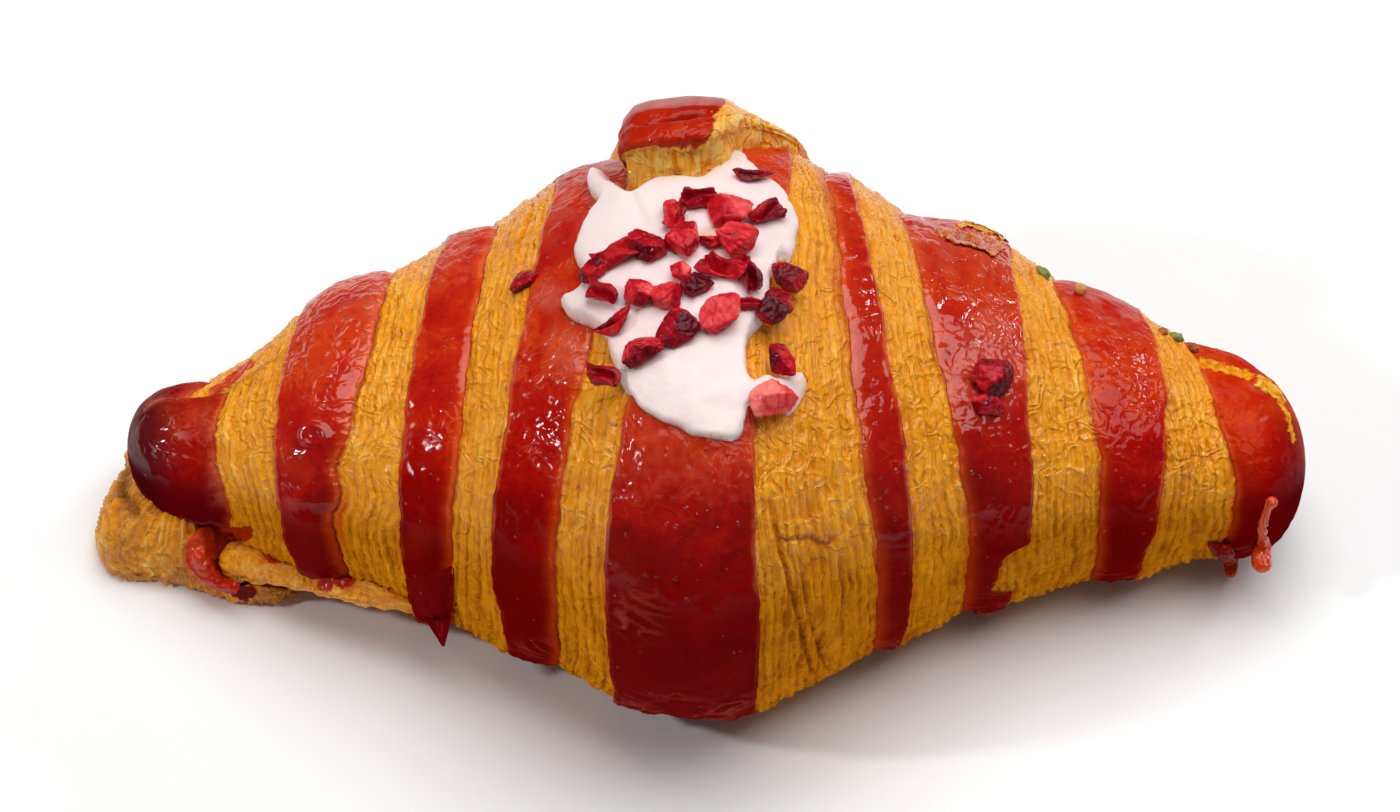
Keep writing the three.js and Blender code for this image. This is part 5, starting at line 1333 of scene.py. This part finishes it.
# ------------------------------------------------------------------ raspberry pieces
# x, phi, length, width, height, turn, on icing, tone, kind (0 block, 1 folded, 2 long)
RASPBERRY = [
    (7.0, 202.5, 4.6, 1.8, 1.1, 18, 1, 0.25, 2), (0.4, 195.0, 4.4, 3.1, 1.9, -20, 1, 0.35, 1),
    (3.8, 191.5, 4.8, 4.6, 2.9, 20, 1, 0.75, 0), (8.0, 191.0, 5.0, 2.9, 1.8, 20, 1, 0.30, 1),
    (-3.1, 190.0, 3.6, 3.1, 1.9, 50, 1, 0.45, 1), (-1.8, 185.0, 4.6, 3.5, 2.2, 60, 1, 0.65, 0),
    (1.2, 184.5, 3.3, 1.8, 1.2, -15, 1, 0.35, 2), (4.6, 184.0, 4.8, 4.1, 2.6, 15, 1, 0.80, 0),
    (-6.6, 183.5, 4.9, 3.3, 1.9, -35, 1, 0.25, 0), (-9.5, 182.5, 6.4, 3.0, 1.6, -10, 1, 0.50, 1),
    (-12.6, 180.0, 3.7, 2.6, 1.5, 15, 1, 0.20, 0), (-11.5, 175.0, 5.2, 2.8, 1.6, -70, 1, 0.45, 1),
    (-2.2, 178.5, 2.5, 2.1, 1.3, -20, 1, 0.70, 0), (-0.4, 176.3, 3.6, 2.7, 1.7, 20, 1, 0.10, 0),
    (2.5, 178.5, 4.6, 3.0, 1.9, -50, 1, 0.60, 1), (5.7, 177.5, 4.3, 3.1, 1.9, 70, 1, 0.30, 1),
    (-7.0, 174.5, 3.6, 3.4, 2.2, 0, 1, 0.60, 0), (-3.7, 174.0, 3.9, 3.2, 2.1, -30, 1, 0.50, 0),
    (2.5, 170.5, 5.5, 3.9, 2.4, 75, 1, 0.85, 0), (6.1, 171.7, 3.4, 2.1, 1.3, 15, 1, 0.45, 2),
    (8.9, 171.0, 4.6, 3.3, 2.1, 70, 1, 0.15, 0), (10.7, 177.5, 3.9, 3.8, 2.4, 20, 1, 0.20, 0),
    (-10.2, 168.5, 5.0, 2.5, 1.6, 22, 1, 0.30, 2), (-2.6, 166.5, 4.9, 3.5, 2.2, 45, 1, 0.10, 0),
    (-6.6, 163.0, 4.7, 3.3, 2.1, 12, 1, 0.30, 0), (-11.5, 158.0, 4.7, 2.6, 1.6, -50, 1, 0.20, 1),
    (9.4, 160.5, 4.2, 2.5, 1.6, -60, 1, 0.30, 0), (8.4, 153.5, 5.4, 3.8, 2.3, 10, 1, 1.15, 0),
    (-23.0, 185.0, 3.9, 2.5, 1.5, 20, 0, 0.15, 0), (38.7, 161.2, 5.0, 4.4, 2.8, 30, 0, 0.10, 0),
    (38.5, 152.3, 3.9, 2.7, 1.7, 10, 0, 0.42, 0)]


def ball(level):
    """Unit icosphere as arrays."""
    import bmesh
    bm = bmesh.new()
    bmesh.ops.create_icosphere(bm, subdivisions=level, radius=1.0)
    bm.verts.ensure_lookup_table()
    v = np.array([q.co[:] for q in bm.verts])
    f = [[q.index for q in p.verts] for p in bm.faces]
    bm.free()
    return v / np.linalg.norm(v, axis=1, keepdims=True), f


BALL, BALL_F = ball(5)


def berry(seed, size, kind):
    """An irregular cut piece of dried berry, centred, its long side on x: points, flesh 0..1, crease 0..1, face -1..1."""
    rs = np.random.RandomState(seed)
    n = {0: 12, 1: 9, 2: 8}[kind]
    i = np.arange(n)
    th = np.pi * (1 + 5 ** 0.5) * (i + rs.rand())
    cz = 1 - 2 * (i + 0.5) / n
    dirs = np.column_stack([np.sqrt(1 - cz ** 2) * np.cos(th), np.sqrt(1 - cz ** 2) * np.sin(th), cz])
    dirs += rs.randn(n, 3) * 0.25
    dirs /= np.linalg.norm(dirs, axis=1, keepdims=True)
    off = rs.uniform(0.60, 1.0, n)
    dots = np.clip(BALL @ dirs.T, 0, None) / off
    p = 20.0
    r = 1.0 / (np.sum(dots ** p, axis=1) ** (1 / p) + 0.12)
    V = BALL * r[:, None]
    V -= (V.max(0) + V.min(0)) / 2
    V /= (V.max(0) - V.min(0)) / 2
    share = dots ** 14
    share /= share.sum(1, keepdims=True) + 1e-12
    cls = (rs.rand(n) < 0.5).astype(float)
    flesh = share @ cls
    face = share @ rs.uniform(-1, 1, n)
    S = np.array(size) / 2
    V = V * S
    L, W, H = size
    x, y, z = V[:, 0] / S[0], V[:, 1] / S[1], V[:, 2] / S[2]
    if kind == 1:      # folded: a deep crease runs along the top and one side curls over it
        a = rs.uniform(-0.35, 0.35)
        q = y - a * x - rs.uniform(-0.2, 0.2)
        g = bell(q, 0.30) * smooth(z + 0.2)
        V[:, 2] -= 0.75 * H * g * (1 - 0.4 * x * x)
        V[:, 1] += 0.22 * W * np.sin(2.4 * x)
        V[:, 2] += 0.25 * H * x * x * (y > 0) + 0.18 * H * bell(q - 0.5, 0.25) * smooth(z)
        flesh = np.clip(flesh * 0.6 + 0.9 * g, 0, 1)
        face = face - 0.4 * g
    if kind == 2:      # long and bent, thicker at one end, with a groove
        k = 0.80 + 0.30 * x * rs.choice([-1, 1])
        V[:, 1] = V[:, 1] * k + 0.28 * W * (x * x - 0.4) * rs.choice([-1, 1])
        V[:, 2] = V[:, 2] * k + 0.12 * H * np.sin(3 * x)
        g = bell(y + 0.25 * np.sin(3 * x), 0.24) * smooth(z)
        V[:, 2] -= 0.45 * H * g
        face = face - 0.3 * g
    # a few ring creases and shallow facets of the drupelets
    o = rs.rand(3) * 50
    f1, f2, own = cells(V[:, 0] / 1.9 + o[0], V[:, 1] / 1.9 + o[1], V[:, 2] / 1.9 + o[2], seed=seed)
    gap = np.clip((f2 - f1) / 0.22, 0, 1)
    nrm = V / S ** 2
    nrm /= np.linalg.norm(nrm, axis=1, keepdims=True) + 1e-9
    amp = min(1.0, H / 2.6)
    wr = 1 - np.abs(noise(V[:, 0] / 1.1 + o[0], V[:, 1] / 1.1, V[:, 2] / 1.1, seed=seed + 5)) * 4
    wr = np.clip(wr, -1, 1)
    wr2 = noise(V[:, 0] / 0.4 + o[1], V[:, 1] / 0.4, V[:, 2] / 0.4, seed=seed + 6)
    ring = np.sin(f1 * 17.0) * smooth((0.55 - f1) / 0.2) * (own > 0.45)
    d = amp * (0.13 * (gap - 0.7) + 0.07 * wr + 0.06 * ring) + 0.03 * wr2
    V = V + nrm * d[:, None]
    return V, flesh, np.clip(1 - gap, 0, 1) * 0.8 + 0.25 * np.clip(-ring, 0, 1), face


def berry_material():
    m = Nodes("dried_raspberry")
    obj = m.obj()
    n1 = m.noise(obj, 620.0, 3.0, 0.6)
    n2 = m.noise(obj, 2100.0, 2.0, 0.6)
    t = m.math("ADD", m.math("MULTIPLY", m.attr("tone"), 0.64), m.math("MULTIPLY", m.attr("flesh"), 0.26))
    t = m.math("ADD", t, m.math("MULTIPLY", m.attr("face"), 0.17))
    t = m.math("ADD", t, m.math("MULTIPLY", m.math("SUBTRACT", n1, 0.5), 0.42))
    # darker in the creases: painted shade
    t = m.math("SUBTRACT", m.math("ADD", t, 0.05), m.math("MULTIPLY", m.attr("crease"), 0.16), clamp=True)
    col = m.ramp(t, [(0.0, srgb(84, 2, 20)), (0.16, srgb(124, 3, 20)), (0.36, srgb(170, 9, 26)), (0.58, srgb(208, 26, 40)),
                     (0.78, srgb(232, 74, 76)), (1.0, srgb(244, 128, 116))])
    veins = m.math("MULTIPLY", m.span(n2, 0.55, 0.75), 0.16)
    col = m.mix(veins, col, srgb(240, 140, 136))
    bump = m.bump(m.math("ADD", n1, m.math("MULTIPLY", n2, 0.35)), 0.00010)
    return m.done(col, m.math("ADD", m.math("MULTIPLY", n2, 0.2), 0.24), bump, Coat_Weight=0.22, Coat_Roughness=0.08,
                  Specular_IOR_Level=0.06, Subsurface_Weight=0.10, Subsurface_Scale=0.0006,
                  Subsurface_Radius=(1.0, 0.25, 0.2))


BERRY = berry_material()


def seat(V, x, phi, centre, turn, settle):
    n = skin_normal(x, phi)
    e1 = np.array([1.0, 0, 0]) - n * n[0]
    e1 /= np.linalg.norm(e1)
    e2 = np.cross(n, e1)
    c, s = math.cos(math.radians(turn)), math.sin(math.radians(turn))
    a, b = e1 * c + e2 * s, -e1 * s + e2 * c
    return centre - n * settle + V[:, :1] * a + V[:, 1:2] * b + V[:, 2:3] * n


for i, (x, phi, l, w, h, turn, on, tone, kind) in enumerate(RASPBERRY):
    V, flesh, crease, face = berry(400 + 17 * i, (l * 1.24, w * 1.30, h * 1.30), kind)
    V = seat(V, x, phi, berry_centre(i + 1), turn, 0.95 if tone > 1.1 else 0.40)
    node = "raspberry_piece_%02d" % (i + 1)
    finish_piece(node.replace("piece", "bit"), V, BALL_F,
                 {"tone": np.full(len(V), tone), "flesh": flesh, "crease": crease, "face": face}, node, "raspberry", BERRY)


# ------------------------------------------------------------------ crumbs and the sugar bead
def crumb_material(name, dark, light, rough):
    m = Nodes(name)
    n1 = m.noise(m.obj(), 900.0, 4.0, 0.6)
    col = m.mix(m.span(n1, 0.3, 0.7), srgb(*dark), srgb(*light))
    return m.done(col, m.math("ADD", m.math("MULTIPLY", n1, 0.2), rough), m.bump(n1, 0.00012), Coat_Weight=0.1,
                  Coat_Roughness=0.2, Specular_IOR_Level=0.4)


SMALL, SMALL_F = ball(4)
CRUMBS = [("pistachio_crumb_1", 47.8, 219, 2.4, 1.7, 1.4, "pistachio"), ("pistachio_crumb_2", 66.4, 217, 2.6, 1.7, 1.4, "pistachio"),
          ("dough_crumb_1", 64.4, 214, 1.9, 1.4, 1.1, "browned_crumb"), ("dough_crumb_2", 68.9, 215, 2.2, 1.6, 1.2, "browned_crumb")]
LOOK = {"pistachio": crumb_material("pistachio", (78, 92, 30), (150, 166, 78), 0.5),
        "browned_crumb": crumb_material("browned_crumb", (96, 34, 12), (196, 108, 44), 0.5)}
for i, (node, x, phi, l, w, h, slot) in enumerate(CRUMBS):
    rs = np.random.RandomState(77 + i)
    V = SMALL * (1 + 0.28 * fbm(SMALL[:, 0] * 1.6 + 9 * i, SMALL[:, 1] * 1.6, SMALL[:, 2] * 1.6, 3, seed=300 + i))[:, None]
    V = V * np.array([l, w, h]) / 2
    a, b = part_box(node)
    c = (np.array(a) + np.array(b)) / 2 / MM - SHIFT
    finish_piece(node.replace("crumb", "bit"), seat(V, x, phi, c, 30 * i, 0.25), SMALL_F, {}, node, slot, LOOK[slot])
a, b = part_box("sugar_pearl")
c = (np.array(a) + np.array(b)) / 2 / MM - SHIFT
V = SMALL * (0.9 * (1 + 0.05 * fbm(SMALL[:, 0] * 2, SMALL[:, 1] * 2, SMALL[:, 2] * 2, 2, seed=310)))[:, None]
finish_piece("sugar_bead", seat(V, 52.6, 214, c, 0, 0.2), SMALL_F, {}, "sugar_pearl", "sugar_bead",
             crumb_material("sugar_bead", (176, 104, 44), (226, 168, 96), 0.3))

# ------------------------------------------------------------------ floor, light, camera
fm = Nodes("floor_paper")
away = fm.new("ShaderNodeVectorMath", {0: fm.obj()}, operation="LENGTH").outputs["Value"]
floor_tone_and_light_pool = fm.mix(fm.noise(fm.obj(), 30.0, 2.0), srgb(250, 250, 250), srgb(254, 254, 254))
# grey further out, leaving a painted pool of light around the loaf
floor_tone_and_light_pool = fm.mix(fm.span(away, 0.16, 0.55), floor_tone_and_light_pool, srgb(176, 176, 178))
fm.done(floor_tone_and_light_pool, 0.9, fm.bump(fm.noise(fm.obj(), 700.0, 2.0), 0.00003), Specular_IOR_Level=0.1)
fl = make_mesh("floor", [(-3000, -3000, 0), (3000, -3000, 0), (3000, 3000, 0), (-3000, 3000, 0)], [(0, 1, 2, 3)], fm.mat)

world = bpy.data.worlds.new("studio")
bpy.context.scene.world = world
world.use_nodes = True
world.node_tree.nodes["Background"].inputs[0].default_value = (1, 1, 1, 1)
world.node_tree.nodes["Background"].inputs[1].default_value = 0.10


def area(name, direction, distance, size, power, color=(1, 1, 1)):
    d = bpy.data.lights.new(name, "AREA")
    d.shape, d.size, d.size_y, d.energy, d.color = "RECTANGLE", size[0], size[1], power, color
    o = bpy.data.objects.new(name, d)
    v = Vector(direction).normalized()
    o.location = v * distance + Vector((0, 0, 0.03))
    o.rotation_euler = (-v).to_track_quat("-Z", "Y").to_euler()
    bpy.context.scene.collection.objects.link(o)
    return o


area("overhead", (0.17, 0.19, 1.0), 1.0, (1.2, 0.9), 11.4)
area("left_key", (-0.80, -0.17, 0.57), 0.9, (0.055, 0.07), 2.0)
area("right_back", (0.66, 0.53, 0.53), 1.0, (0.14, 0.11), 1.1)

elev, dist = math.radians(52.0), 0.620
target = Vector((SHIFT[0] * MM, SHIFT[1] * MM, 0.030))
back = Vector((0, -math.cos(elev), math.sin(elev)))
cam_data = bpy.data.cameras.new("camera")
cam_data.sensor_width = 36.0
cam_data.lens = 36.0 * (1204 / 165.0 * 620.0) / 1400
cam_data.clip_start, cam_data.clip_end = 0.01, 20.0
cam = bpy.data.objects.new("camera", cam_data)
cam.location = target + back * dist
cam.rotation_euler = (-back).to_track_quat("-Z", "Y").to_euler()
bpy.context.scene.collection.objects.link(cam)
bpy.context.scene.camera = cam
bpy.context.scene.view_settings.view_transform = "Standard"
bpy.context.scene.view_settings.look = "None"

for o in bpy.context.scene.objects:
    o.select_set(False)
